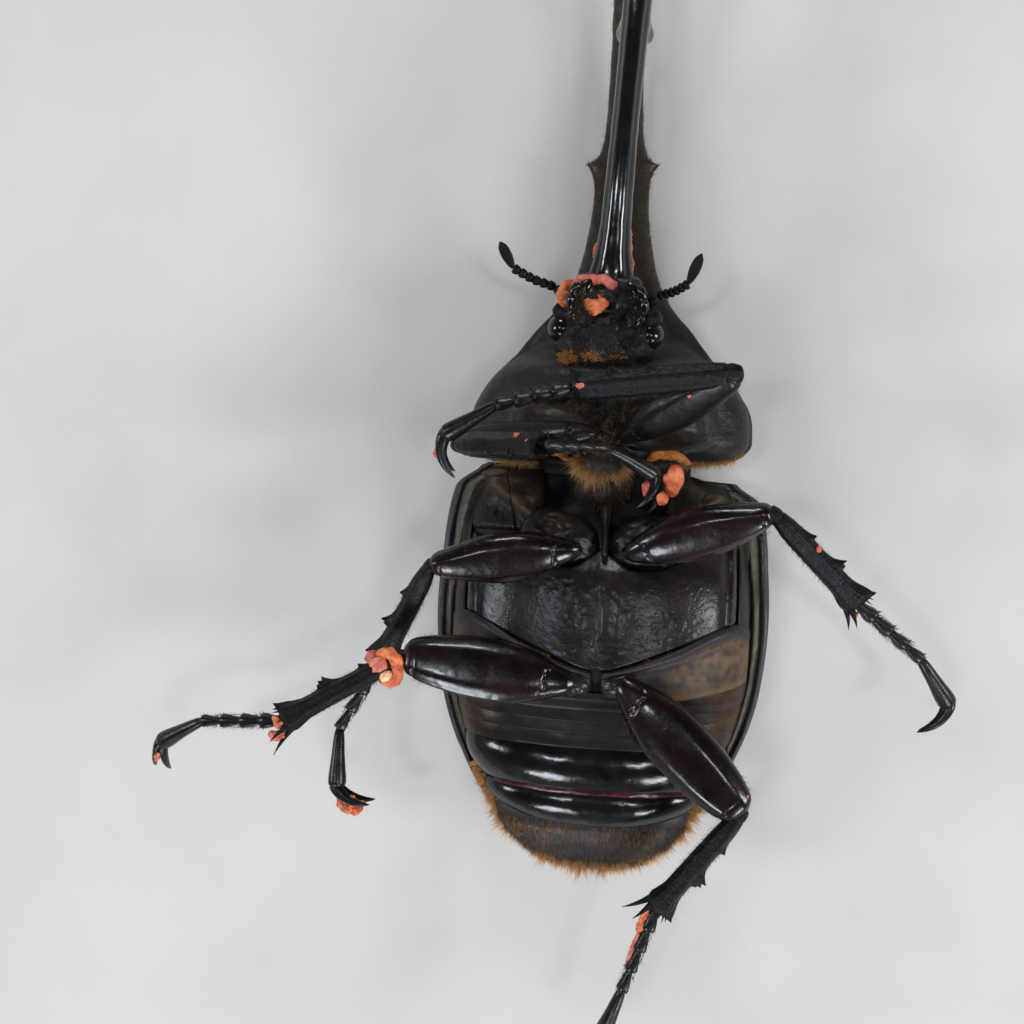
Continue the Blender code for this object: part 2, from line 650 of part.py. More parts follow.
SIDES = (("left", 1), ("right", -1))
PAIRS = ("fore", "mid", "hind")
legs = {(pair, name): leg_points(pair, name) for pair in PAIRS for name, _ in SIDES}

core = trunk_core()
femora = {key: femur(*key, points) for key, points in legs.items()}
tibiae = {key: tibia_shaft(*key, points) for key, points in legs.items()}
tarsi = {key: tarsus(*key, points) for key, points in legs.items()}

# Hips: the fore and mid ones are balls, the hind ones plates cut from the belly
coxae = {(pair, name): coxa(pair, name) for pair in ("fore", "mid") for name, _ in SIDES}
for name, side in SIDES:
    cell = hind_plate_cell(side)
    plate = part(twin(core, f"coxa_hind_{name}"), twin(cell, "cell_copy"))
    knob = ellipsoid("knob", (side * 3.7, -14.7, 23.6), (2.6, 1.5, 1.9))
    coxae["hind", name] = join(plate, [knob])
    bpy.data.objects.remove(cell, do_unlink=True)

# Trunk: thorax and abdomen meet at one cross plane
thorax = part(twin(core, "thorax"), slab("front", THORAX_BACK, 12.5))
abdomen = part(twin(core, "abdomen"), slab("rear", ABDOMEN_BACK, THORAX_BACK - GAP))
bpy.data.objects.remove(core, do_unlink=True)
hind_room = []
for name, side in SIDES:
    hind_room.append(grown(hind_plate_cell(side)))
thorax = cut(thorax, hind_room + [grown(coxae["mid", name]) for name, _ in SIDES]
             + [grown(femora[pair, name]) for pair in ("mid", "hind") for name, _ in SIDES])
abdomen = cut(abdomen, [grown(femora["hind", name]) for name, _ in SIDES])
for cell in [obj for obj in cutters.objects if obj.name.startswith("cell")]:
    bpy.data.objects.remove(cell, do_unlink=True)

tail = pygidium()
plate = scutellum()
cut(thorax, [grown(plate)])
elytra = {name: elytron(side, f"elytron_{name}") for name, side in SIDES}
for name, side in SIDES:
    cut(elytra[name], [grown(plate)])

# Head and the parts on it
skull = head_capsule()
eyes = {name: eye(side, f"eye_{name}") for name, side in SIDES}
feelers = {name: antenna(name) for name, _ in SIDES}
jaws = {name: mandible(side, f"mandible_{name}") for name, side in SIDES}
palps = {name: palp(side, f"palp_{name}") for name, side in SIDES}
neck = prothorax()
cut(neck, [grown(skull)] + [grown(coxae["fore", name]) for name, _ in SIDES]
    + [grown(femora["fore", name]) for name, _ in SIDES])
brow_horn = head_horn()
cut(skull, [grown(brow_horn)] + [grown(piece[name]) for piece in (eyes, feelers, jaws, palps)
                                 for name, _ in SIDES])

# Legs: each stretch sits in a shallow socket of the one before it
for key, points in legs.items():
    pair, name = key
    cut(coxae[key], [grown(femora[key])])
    cut(femora[key], [grown(tibiae[key])])
    join(tibiae[key], tibia_trim(pair, points))
    cut(tibiae[key], [grown(tarsi[key])])
    join(tarsi[key], claws(points) + tarsus_spines(pair, points))

for obj, colour in ((neck, "shell"), (thoracic_horn(), "horn"), (skull, "shell"), (brow_horn, "horn"),
                    (thorax, "belly"), (abdomen, "belly"), (tail, "belly"), (plate, "shell")):
    keep(obj, colour)
for name, _ in SIDES:
    keep(elytra[name], "elytra")
    keep(eyes[name], "eye")
    for piece in (feelers, jaws, palps):
        keep(piece[name], "horn")
for key in legs:
    for piece in (coxae, femora, tibiae, tarsi):
        keep(piece[key], "leg")

place = Matrix.Scale(MM, 4) @ Matrix.Translation((-MIDDLE[0], -MIDDLE[1], 0.0))
for obj in nodes.values():
    obj.data.transform(place)
    obj.data.shade_smooth()
    obj.data.set_sharp_from_angle(angle=math.radians(40))
for stale in list(cutters.objects):
    bpy.data.objects.remove(stale, do_unlink=True)
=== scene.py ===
"""Looks of a life-size hercules beetle lying on its back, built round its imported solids.

Shapes are worked out in millimetres in the beetle's own frame, as its solids are: X to its
left side, Y from tail to horns, Z from its back to its belly. They are moved to the frame
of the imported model, in metres, as each mesh is made.
"""
import itertools
import math

import bpy
import numpy as np
from mathutils import Matrix, Vector


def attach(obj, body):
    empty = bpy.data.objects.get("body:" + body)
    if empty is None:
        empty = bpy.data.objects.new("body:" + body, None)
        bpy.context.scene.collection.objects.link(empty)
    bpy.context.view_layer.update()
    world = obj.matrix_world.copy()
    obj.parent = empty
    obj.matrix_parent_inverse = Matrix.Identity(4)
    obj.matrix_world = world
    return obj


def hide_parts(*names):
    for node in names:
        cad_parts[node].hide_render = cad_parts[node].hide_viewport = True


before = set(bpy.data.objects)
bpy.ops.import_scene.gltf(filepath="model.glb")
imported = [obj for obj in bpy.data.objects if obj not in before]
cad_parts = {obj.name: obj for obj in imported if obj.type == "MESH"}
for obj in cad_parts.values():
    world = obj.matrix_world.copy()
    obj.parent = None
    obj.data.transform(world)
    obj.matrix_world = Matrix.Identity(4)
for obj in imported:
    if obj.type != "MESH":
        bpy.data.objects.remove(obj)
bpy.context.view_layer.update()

MM = 0.001
MIDDLE = np.array((-6.8, 23.2, 0.0))    # X and Y of the middle of the model's box
SIDES = (("left", 1), ("right", -1))
PAIRS = ("fore", "mid", "hind")
UP = np.array((0.0, 0.0, 1.0))

# Camera: place in the beetle's frame, turns in degrees about Z, X and Y, focal length
EYE_POINT = (2.79, 5.92, 151.72)
EYE_TURN = (2.66, -0.27, 6.17)
LENS = 37.41
SENSOR = 36.0

# Trunk, as in the solids: Y, half width over the elytra, Z of the back
HULL = ((12.0, 17.6, 3.6), (9.0, 19.2, 1.7), (5.0, 20.2, 0.5), (0.0, 20.7, -0.2),
        (-6.4, 21.1, -0.4), (-15.4, 20.5, -0.4), (-21.8, 18.9, -0.1), (-27.6, 16.3, 1.3),
        (-31.0, 14.2, 3.2), (-34.0, 11.7, 6.2), (-36.6, 8.8, 10.2), (-38.6, 5.4, 13.0))
HULL_POWER = 2.3
RIM_Z = 14.0
SHELL = 1.0
CORE_ROOM = 0.55
LIP = ((12.0, 2.9), (4.0, 2.2), (-8.0, 1.5), (-30.0, 1.1), (-36.0, 0.8), (-37.0, 0.8))
BELLY = ((11.6, 17.6), (9.4, 20.4), (6.0, 21.9), (2.0, 23.2), (-1.5, 25.2), (-6.0, 25.6),
         (-12.0, 25.5), (-16.6, 24.6), (-18.0, 23.4), (-22.0, 23.0), (-28.1, 21.9),
         (-33.4, 20.0), (-36.0, 18.6), (-38.2, 17.0), (-39.3, 15.6))
BELLY_POWER = 2.35
ELYTRA_FRONT, ELYTRA_BACK = 11.6, -36.2
STRIP_FOLD = 0.75               # how far the strip inside a wing case's rim folds in to the body

# Prothorax: Y, half width, Z of the back, of the side edge and of the underside
PRONOTUM = ((12.0, 14.6, 4.6, 12.2, 18.6), (13.2, 16.9, 3.2, 12.0, 20.2),
            (15.6, 18.1, 1.6, 11.8, 21.2), (19.0, 17.8, 0.3, 11.5, 21.6),
            (22.0, 16.2, -0.5, 11.2, 21.4), (23.8, 14.8, -0.6, 11.0, 20.4),
            (25.0, 13.6, -0.6, 10.8, 17.6), (26.4, 12.4, -0.6, 10.5, 14.2),
            (28.2, 11.1, -0.6, 10.2, 12.4), (31.0, 9.0, -0.4, 9.3, 11.6),
            (33.6, 7.3, 0.1, 8.2, 11.0), (34.6, 6.9, 0.2, 8.0, 10.8))
THORACIC_HORN = ((33.9, 7.2, 0.2, 11.0), (38.0, 5.5, 0.3, 10.0), (43.0, 4.4, 0.35, 9.0),
                 (48.0, 3.7, 0.5, 8.2), (53.0, 3.2, 0.7, 7.6), (58.0, 2.6, 1.1, 7.4),
                 (65.0, 2.3, 2.0, 7.8), (75.0, 2.25, 3.6, 8.8), (85.0, 2.25, 5.8, 10.6),
                 (95.0, 2.2, 8.8, 13.2), (103.0, 1.8, 12.2, 16.0), (108.0, 1.25, 15.0, 18.0),
                 (110.4, 0.7, 17.0, 18.9), (111.2, 0.3, 17.9, 18.9))
HORN_TOOTH = (53.2, 5.8, 6.3)           # Y, X and Z of the tips of the side teeth

# Head in its own frame: Y, half width, lowest and highest Z
HEAD = ((21.6, 3.0, 13.4, 17.2), (23.0, 4.6, 11.9, 19.0), (24.6, 5.7, 11.1, 20.2),
        (26.4, 6.3, 10.9, 20.9), (28.4, 6.3, 11.2, 21.0), (30.4, 5.7, 12.0, 20.7),
        (32.4, 4.9, 12.8, 20.4), (34.2, 4.2, 13.5, 20.0), (35.5, 3.5, 14.2, 19.6),
        (36.2, 2.7, 14.9, 19.2))
HEAD_PIVOT = np.array((-1.4, 20.0, 0.0))
HEAD_YAW = math.radians(-3.0)
EYE_AT = (5.6, 28.5, 17.6)
EYE_RADIUS = 2.15
HEAD_HORN = ((34.6, 17.0, 3.4, 2.6), (36.4, 17.4, 2.7, 2.5), (40.0, 18.6, 2.05, 2.3),
             (48.0, 20.4, 1.75, 2.3), (56.0, 21.0, 1.65, 2.25), (64.0, 20.6, 1.75, 2.25),
             (69.0, 19.8, 1.8, 2.15), (74.0, 18.4, 1.6, 1.9), (79.0, 16.6, 1.2, 1.5),
             (84.0, 14.4, 0.8, 1.0), (86.4, 13.0, 0.45, 0.55), (87.2, 12.5, 0.25, 0.3))
ANTENNA = {"left": ((3.0, 30.8, 16.4), (5.4, 33.2, 17.2), (9.0, 34.5, 18.5), (10.4, 38.0, 19.6)),
           "right": ((-4.2, 31.0, 16.4), (-7.6, 34.0, 17.2), (-12.9, 36.0, 18.5), (-14.6, 39.0, 19.6))}
MANDIBLE = ((2.6, 30.2, 19.2), (3.4, 32.4, 20.2), (2.3, 34.2, 20.7))
MAXILLA = (((1.9, 31.6, 20.4), (1.0, 1.7, 0.8), -12), ((3.3, 30.2, 20.3), (0.9, 1.5, 0.7), -20))
PALP = ((3.5, 28.6, 20.0), (4.5, 30.2, 21.1), (4.5, 32.0, 21.6), (3.7, 33.5, 21.7))

# Share of the way and half width of single joints
PALP_JOINT = ((0, 0.2), (0.12, 0.36), (0.6, 0.54), (0.9, 0.46), (1.0, 0.2))
ANTENNA_ROOT = ((0, 0.4), (0.3, 0.5), (0.85, 0.66), (0.97, 0.5), (1.0, 0.3))
ANTENNA_BEAD = ((0, 0.4), (0.25, 0.54), (0.7, 0.64), (0.93, 0.56), (1.0, 0.4))
ANTENNA_LEAF = ((0, 0.2), (0.15, 0.46), (0.5, 0.68), (0.82, 0.54), (1.0, 0.1))
FOOT_JOINT = ((0, 0.42), (0.12, 0.6), (0.4, 0.74), (0.75, 0.98), (0.86, 1.0), (0.94, 0.9), (1.0, 0.6))
CLAW_JOINT = ((0, 0.46), (0.1, 0.64), (0.5, 0.88), (0.8, 1.12), (0.92, 1.14), (1.0, 0.7))
CLAW = ((-0.12, 0.5), (0.05, 0.6), (0.25, 0.54), (0.65, 0.36), (0.92, 0.15), (1.0, 0.05))

# Legs, as in the solids: lengths of femur, tibia, tarsus, last joint and claws
LENGTHS = {"fore": (16.4, 18.5, 9.1, 7.5, 3.1, 3.3),
           "mid": (17.2, 15.8, 11.0, 7.4, 2.6, 3.0),
           "hind": (19.8, 16.4, 11.8, 8.0, 2.6, 3.0)}
HIPS = {"fore": (2.2, 15.2, 22.6), "mid": (3.4, 1.2, 25.2), "hind": (3.4, -14.6, 25.4)}
POSE = {("fore", "left"): ((29, 34), (-174, -6), (-166, -5), (-150, -17), (-115, -19), (-39, -24)),
        ("fore", "right"): ((-174, -6), (-3, 50), (3, -43), (-26, -30), (-73, 36), (-141, -28)),
        ("mid", "left"): ((19, 14), (-43, -20), (-38, -17), (-53, -21), (-102, -2), (-157, -18)),
        ("mid", "right"): ((-171, 1), (-119, -26), (-119, -1), (-88, 6), (-44, 2), (10, 9)),
        ("hind", "left"): ((-44, 2), (-125, -12), (-108, -9), (-108, -16), (-117, 2), (-131, -30)),
        ("hind", "right"): ((174, 1), (-149, 9), (-173, -16), (-150, -22), (-100, -9), (-107, -61))}
FEMUR = {"fore": (2.6, 1.8), "mid": (3.05, 1.9), "hind": (3.7, 2.0)}
TIBIA = {"fore": (1.6, 1.2, 1.55, 0.85), "mid": (1.5, 1.2, 2.1, 0.6), "hind": (1.5, 1.2, 2.1, 0.6)}
FACING = {"fore": 0.9, "mid": 0.35, "hind": 0.5}
SPURS = {"fore": (3.0,), "mid": (3.4, 2.8), "hind": (4.0, 3.4)}
TIBIA_TEETH = {"fore": ((0.5, 0.45), (0.73, 0.6), (0.95, 1.1)),
               "mid": ((0.32, 0.6), (0.6, 0.95), (0.65, 0.6), (0.96, 1.2)),
               "hind": ((0.3, 0.6), (0.55, 1.1), (0.6, 0.8), (0.64, 0.5), (0.96, 1.3))}
COXA = {"fore": ((6.1, 16.4, 19.5), (5.6, 2.8, 3.0), 6.0),
        "mid": ((5.2, 2.4, 22.7), (4.7, 3.2, 2.8), 14.0)}


# Camera

def new_object(name, data):
    made = bpy.data.objects.new(name, data)
    bpy.context.scene.collection.objects.link(made)
    return made


def make_camera():
    yaw, pitch, roll = (math.radians(turn) for turn in EYE_TURN)
    data = bpy.data.cameras.new("camera")
    data.lens = LENS
    data.sensor_width = SENSOR
    data.clip_start = 0.005
    data.clip_end = 10.0
    camera = new_object("camera", data)
    place = (Vector(EYE_POINT) - Vector(MIDDLE)) * MM
    camera.matrix_world = (Matrix.Translation(place) @ Matrix.Rotation(roll, 4, "Y")
                           @ Matrix.Rotation(pitch, 4, "X") @ Matrix.Rotation(yaw, 4, "Z"))
    bpy.context.scene.camera = camera


make_camera()


# Numbers and fields

def smooth(rows, at):
    """Rows of a table, first column their position, at places between its own rows."""
    rows = np.array(rows, float)
    rows = rows[np.argsort(rows[:, 0], kind="stable")]
    at = np.clip(np.asarray(at, float), rows[0, 0], rows[-1, 0])
    i = np.clip(np.searchsorted(rows[:, 0], at, side="right") - 1, 0, len(rows) - 2)
    a, b, c, d = (rows[np.clip(i + k, 0, len(rows) - 1)] for k in (-1, 0, 1, 2))
    span = (c - b)[..., :1]
    t = (at[..., None] - b[..., :1]) / span
    step = (c - b)[..., 1:] / span
    slope_in = (c - a)[..., 1:] / (c - a)[..., :1]
    slope_out = (d - b)[..., 1:] / (d - b)[..., :1]
    slope_in = np.where((b - a)[..., 1:] * step < 0, 0.0, slope_in)
    slope_out = np.where((d - c)[..., 1:] * step < 0, 0.0, slope_out)
    limit = 3.0 * np.abs(step)
    slope_in = np.clip(slope_in, -limit, limit)
    slope_out = np.clip(slope_out, -limit, limit)
    return (b[..., 1:] * (1 + 2 * t) * (1 - t) ** 2 + slope_in * span * t * (1 - t) ** 2
            + c[..., 1:] * t * t * (3 - 2 * t) - slope_out * span * t * t * (1 - t))


LATTICE = np.random.RandomState(7).uniform(-1.0, 1.0, (32, 32, 32))


def noise(points, size, octaves=1):
    """Smooth random field, about -1 to 1, with bumps of the given size in millimetres."""
    total = np.zeros(points.shape[:-1])
    for k in range(octaves):
        q = points / size * 2 ** k + 17.3 * k
        cell = np.floor(q).astype(int)
        f = q - cell
        f = f * f * (3 - 2 * f)
        for corner in itertools.product((0, 1), repeat=3):
            weight = np.prod(np.where(corner, f, 1 - f), axis=-1)
            x, y, z = np.moveaxis((cell + corner) % 32, -1, 0)
            total = total + weight * LATTICE[x, y, z] * 0.5 ** k
    return total


def peak(value, centre, width):
    """Bell of height 1 at the centre."""
    return np.exp(-((value - centre) / width) ** 2)


def hill(x, y, centre, width):
    """Bell of height 1 over a place in a plane."""
    return np.exp(-((x - centre[0]) / width[0]) ** 2 - ((y - centre[1]) / width[1]) ** 2)


def ramp(value, low, high):
    """Smooth step from 0 at low to 1 at high."""
    t = np.clip((value - low) / (high - low), 0.0, 1.0)
    return t * t * (3 - 2 * t)


def unit(v):
    return v / np.maximum(np.linalg.norm(v, axis=-1, keepdims=True), 1e-9)


def aim(azimuth, elevation):
    a, e = math.radians(azimuth), math.radians(elevation)
    return np.array((math.cos(a) * math.cos(e), math.sin(a) * math.cos(e), math.sin(e)))


def power_curve(angle, power):
    """Points of a unit superellipse, as two arrays."""
    c, s = np.cos(angle), np.sin(angle)
    return (np.sign(c) * np.abs(c) ** (2 / power), np.sign(s) * np.abs(s) ** (2 / power))


def spread(start, end, count, ends=0.0):
    """Places from start to end; ends above 0 packs them towards both ends."""
    t = np.linspace(0.0, 1.0, count)
    packed = 0.5 - 0.5 * np.cos(np.pi * t)
    return start + (end - start) * (t * (1 - ends) + packed * ends)


def spans(*rows):
    """Places over several stretches, one after the other."""
    return np.concatenate([spread(*row) for row in rows])


def ring(count):
    """Angles once round."""
    return np.linspace(0, 2 * np.pi, count, endpoint=False)


def columns(rows, at):
    """The columns of a smoothed table, one array each."""
    return np.moveaxis(smooth(rows, at), -1, 0)


def slices(x, y, z):
    """Grid of points from the cross-sections at each y."""
    return np.stack(np.broadcast_arrays(x, y[:, None], z), axis=-1)


def flat_points(x, y):
    """Points at level 0, to read random fields at."""
    return np.stack([x, y, np.zeros_like(x)], axis=-1)


def normals(grid):
    """Unit normals of a closed grid of points, rows by columns."""
    around = np.roll(grid, -1, axis=1) - np.roll(grid, 1, axis=1)
    return unit(np.cross(np.gradient(grid, axis=0), around))


def swollen(grid, push):
    """A closed grid moved out along its normals."""
    return grid + normals(grid) * push[..., None]


# Meshes

def grid_shell(grid):
    """Vertices and faces of a tube over rows of like-numbered points, closed at both ends."""
    rows, cols = grid.shape[:2]
    index = np.arange(rows * cols).reshape(rows, cols)
    beside = np.roll(index, -1, axis=1)
    quads = np.stack([index[:-1], beside[:-1], beside[1:], index[1:]], axis=-1).reshape(-1, 4)
    verts = np.vstack([grid.reshape(-1, 3), grid[0].mean(axis=0), grid[-1].mean(axis=0)])
    faces = [quads, np.stack([beside[0], index[0], np.full(cols, rows * cols)], axis=-1),
             np.stack([index[-1], beside[-1], np.full(cols, rows * cols + 1)], axis=-1)]
    middle = verts.mean(axis=0)
    a, b, c, d = (verts[quads[:, k]] - middle for k in range(4))
    volume = (a * np.cross(b, c)).sum() + (a * np.cross(c, d)).sum()
    if volume < 0:
        faces = [face[:, ::-1] for face in faces]
    return verts, faces


def merge(shells):
    """One shell from several."""
    verts, faces, base = [], [], 0
    for v, f in shells:
        verts.append(v)
        faces.extend(face + base for face in f)
        base += len(v)
    return np.vstack(verts), faces


def piece(name, shells, look, nodes=(), fields=None):
    """A mesh of the finished model: in place, riding on the body, with its finish."""
    verts, faces = merge(shells)
    mesh = bpy.data.meshes.new(name)
    loops = np.concatenate([face.ravel() for face in faces])
    sizes = np.concatenate([np.full(len(face), face.shape[1]) for face in faces])
    starts = np.concatenate([[0], np.cumsum(sizes)[:-1]])
    mesh.vertices.add(len(verts))
    mesh.vertices.foreach_set("co", ((verts - MIDDLE) * MM).astype(np.float32).ravel())
    mesh.loops.add(len(loops))
    mesh.loops.foreach_set("vertex_index", loops.astype(np.int32))
    mesh.polygons.add(len(sizes))
    mesh.polygons.foreach_set("loop_start", starts.astype(np.int32))
    mesh.update(calc_edges=True)
    mesh.shade_smooth()
    for field, values in (fields or {}).items():
        attribute = mesh.attributes.new(field, "FLOAT", "POINT")
        attribute.data.foreach_set("value", np.asarray(values, np.float32))
    mesh.materials.append(finish[look])
    obj = new_object(name, mesh)
    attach(obj, "root")
    if nodes:
        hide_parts(*nodes)
    return obj


def tube(path, across, up, width, thick, power, count, relief=1.0):
    """Grid of cross-sections along a path; relief scales each point's reach."""
    u, v = power_curve(ring(count), power)
    across, up = (np.broadcast_to(way, path.shape)[:, None] for way in (across, up))
    return (path[:, None] + across * (width[:, None] * u * relief)[..., None]
            + up * (thick[:, None] * v * relief)[..., None])


def frames(path, normal):
    """Across and up vectors along a path, up staying near the given normal."""
    along = unit(np.gradient(path, axis=0))
    across = unit(np.cross(along, normal))
    return across, np.cross(across, along)


def curve(points, count):
    """Smooth path through a few points."""
    points = np.array(points, float)
    steps = np.linalg.norm(np.diff(points, axis=0), axis=1)
    at = np.concatenate([[0.0], np.cumsum(steps)])
    rows = np.column_stack([at, points])
    return smooth(rows, np.linspace(0.0, at[-1], count))


def limb(path, normal, rows, flat=1.0, power=2.0, count=20):
    """Tube along a path, its half width from a table of shares of the way."""
    across, up = frames(path, normal)
    size = smooth(rows, np.linspace(rows[0][0], 1.0, len(path)))[:, 0]
    return grid_shell(tube(path, across, up, size, size * flat, power, count))


def spine(root, tip, radius, rows, count, bow=(0.0, 0.0, 0.0), blunt=0.06):
    """Curved cone from root to tip."""
    root, tip, bow = (np.asarray(p, float) for p in (root, tip, bow))
    t = np.linspace(0.0, 1.0, rows)
    path = root + (tip - root) * t[:, None] + bow * (4 * t * (1 - t))[:, None]
    normal = unit(np.cross(tip - root, (0.31, 0.72, 0.41)))
    across, up = frames(path, normal)
    size = radius * np.maximum((1 - t) ** 0.8, blunt)
    return grid_shell(tube(path, across, up, size, size, 2.0, count))


def blob(centre, axes, rows, count, turn=None, power=2.0, rough=0.0, grain=1.0):
    """Rounded lump; turn holds its three axes as rows."""
    lat = np.linspace(-np.pi / 2 + 0.03, np.pi / 2 - 0.03, rows)
    u, v = power_curve(ring(count), power)
    grid = np.stack([np.cos(lat)[:, None] * u, np.cos(lat)[:, None] * v,
                     np.repeat(np.sin(lat)[:, None], count, axis=1)], axis=-1)
    if rough:
        grid = grid * (1 + rough * noise(grid * max(axes) + centre, grain, 2))[..., None]
    grid = grid * np.array(axes, float)
    if turn is not None:
        grid = grid @ np.array(turn, float)
    return grid_shell(grid + np.array(centre, float))


def turn_axes(degrees, tilt=0.0):
    """Axes for a lump turned about Z, then tilted about its own first axis."""
    a, b = math.radians(degrees), math.radians(tilt)
    first = np.array((math.cos(a), math.sin(a), 0.0))
    second = np.array((-math.sin(a) * math.cos(b), math.cos(a) * math.cos(b), math.sin(b)))
    return first, second, np.cross(first, second)


def to_head(points):
    """From the head's own frame to the beetle's."""
    c, s = math.cos(HEAD_YAW), math.sin(HEAD_YAW)
    x, y = points[..., 0], points[..., 1] - HEAD_PIVOT[1]
    return np.stack([x * c - y * s + HEAD_PIVOT[0], x * s + y * c + HEAD_PIVOT[1],
                     points[..., 2]], axis=-1)


def head_shell(shell):
    return to_head(shell[0]), shell[1]


# Finishes

def add(tree, kind, inputs=None, **settings):
    """A new node, its inputs linked where they are outputs and set where they are values."""
    node = tree.nodes.new(kind)
    for key, value in settings.items():
        setattr(node, key, value)
    for key, value in (inputs or {}).items():
        if isinstance(value, bpy.types.NodeSocket):
            tree.links.new(value, node.inputs[key])
        else:
            node.inputs[key].default_value = value
    return node


def maths(tree, operation, first, second):
    return add(tree, "ShaderNodeMath", {0: first, 1: second}, operation=operation).outputs[0]


def dress(tree, shader, colour, roughness, height, strength, distance):
    """Link a surface's colour, roughness and bump."""
    bump = add(tree, "ShaderNodeBump", {"Height": height, "Strength": strength, "Distance": distance})
    for key, value in (("Base Color", colour), ("Roughness", roughness), ("Normal", bump.outputs["Normal"])):
        tree.links.new(value, shader.inputs[key])


def surface(name, settings):
    """A new material, its tree, its shader, and the piece's own coordinates in millimetres."""
    material = bpy.data.materials.new(name)
    material.use_nodes = True
    tree = material.node_tree
    shader = tree.nodes["Principled BSDF"]
    for key, value in settings.items():
        shader.inputs[key].default_value = value
    metres = add(tree, "ShaderNodeTexCoord").outputs["Object"]
    place = add(tree, "ShaderNodeMapping", {"Vector": metres, "Scale": (1000.0, 1000.0, 1000.0)})
    return material, tree, shader, place.outputs["Vector"]


def speckle(tree, vector, scale, detail, roughness=0.55):
    """Noise of so many bumps a millimetre."""
    node = add(tree, "ShaderNodeTexNoise", {"Vector": vector, "Scale": scale, "Detail": detail,
                                            "Roughness": roughness})
    return node.outputs["Fac"]


def levels(tree, value, low, high, out_low=0.0, out_high=1.0):
    return add(tree, "ShaderNodeMapRange", {"Value": value, "From Min": low, "From Max": high,
                                            "To Min": out_low, "To Max": out_high}).outputs["Result"]


def blend_colours(tree, factor, first, second):
    first, second = ((*colour, 1.0) if isinstance(colour, tuple) else colour for colour in (first, second))
    return add(tree, "ShaderNodeMix", {0: factor, 6: first, 7: second}, data_type="RGBA").outputs[2]


def attribute(tree, name):
    return add(tree, "ShaderNodeAttribute", attribute_name=name).outputs["Fac"]


RIPPLE_SCALE = 2.3              # fine creases per millimetre that break up a highlight


def chitin(name, dark, warm, rough, pits=6.0, pit_depth=0.5, stain=None, scale=0.35, coat=0.0, swirl=0.12,
           ripple=0.0, shine=0.3):
    """Hard shell: mottled colour, fine grain, small pits; a stain is a field and its colour."""
    material, tree, shader, place = surface(name, {"Specular IOR Level": shine, "Coat Weight": coat,
                                                   "Coat Roughness": 0.08})
    patch = levels(tree, speckle(tree, place, scale, 4.0), 0.36, 0.66)
    colour = blend_colours(tree, patch, dark, warm)
    if stain:
        colour = blend_colours(tree, attribute(tree, stain[0]), colour, stain[1])
    fine = speckle(tree, place, 14.0, 3.0)
    broad = speckle(tree, place, scale * 2.3, 2.0)
    roughness = levels(tree, maths(tree, "ADD", fine, broad), 0.7, 1.3, *rough)
    cells = add(tree, "ShaderNodeTexVoronoi", {"Vector": place, "Scale": pits / 3.0}).outputs["Distance"]
    relief = [(levels(tree, cells, 0.05, 0.28), pit_depth), (broad, swirl * 8), (fine, 0.12)]
    if ripple:
        relief.append((speckle(tree, place, RIPPLE_SCALE, 3.0), ripple))
    height = 0.0
    for part, share in relief:
        height = maths(tree, "ADD", height, maths(tree, "MULTIPLY", part, share))
    dress(tree, shader, colour, roughness, height, 0.3, 0.00006)
    return material


def hair_finish(name, root, tip):
    """Bristles: darker at the root, each one of its own shade."""
    material, tree, shader, place = surface(name, {})
    colour = blend_colours(tree, attribute(tree, "along"), root, tip)
    shade = levels(tree, attribute(tree, "shade"), 0.0, 1.0, 0.55, 0.0)
    darker = blend_colours(tree, shade, colour, root)
    streak = speckle(tree, place, 9.0, 2.0)
    pale = blend_colours(tree, levels(tree, streak, 0.5, 0.8, 0.0, 0.35), darker, tip)
    dress(tree, shader, pale, levels(tree, streak, 0.3, 0.7, 0.37, 0.55), streak, 0.2, 0.00005)
    return material


def crust_finish(name, first, second):
    """Dried crust: cracked and grainy, with a soft shine."""
    material, tree, shader, place = surface(name, {"Subsurface Weight": 0.08, "Subsurface Scale": 0.0008})
    patch = levels(tree, speckle(tree, place, 0.9, 4.0), 0.38, 0.62)
    colour = blend_colours(tree, patch, first, second)
    fine = speckle(tree, place, 5.0, 5.0, 0.7)
    dress(tree, shader, colour, levels(tree, fine, 0.3, 0.7, 0.22, 0.5), fine, 0.6, 0.0002)
    return material


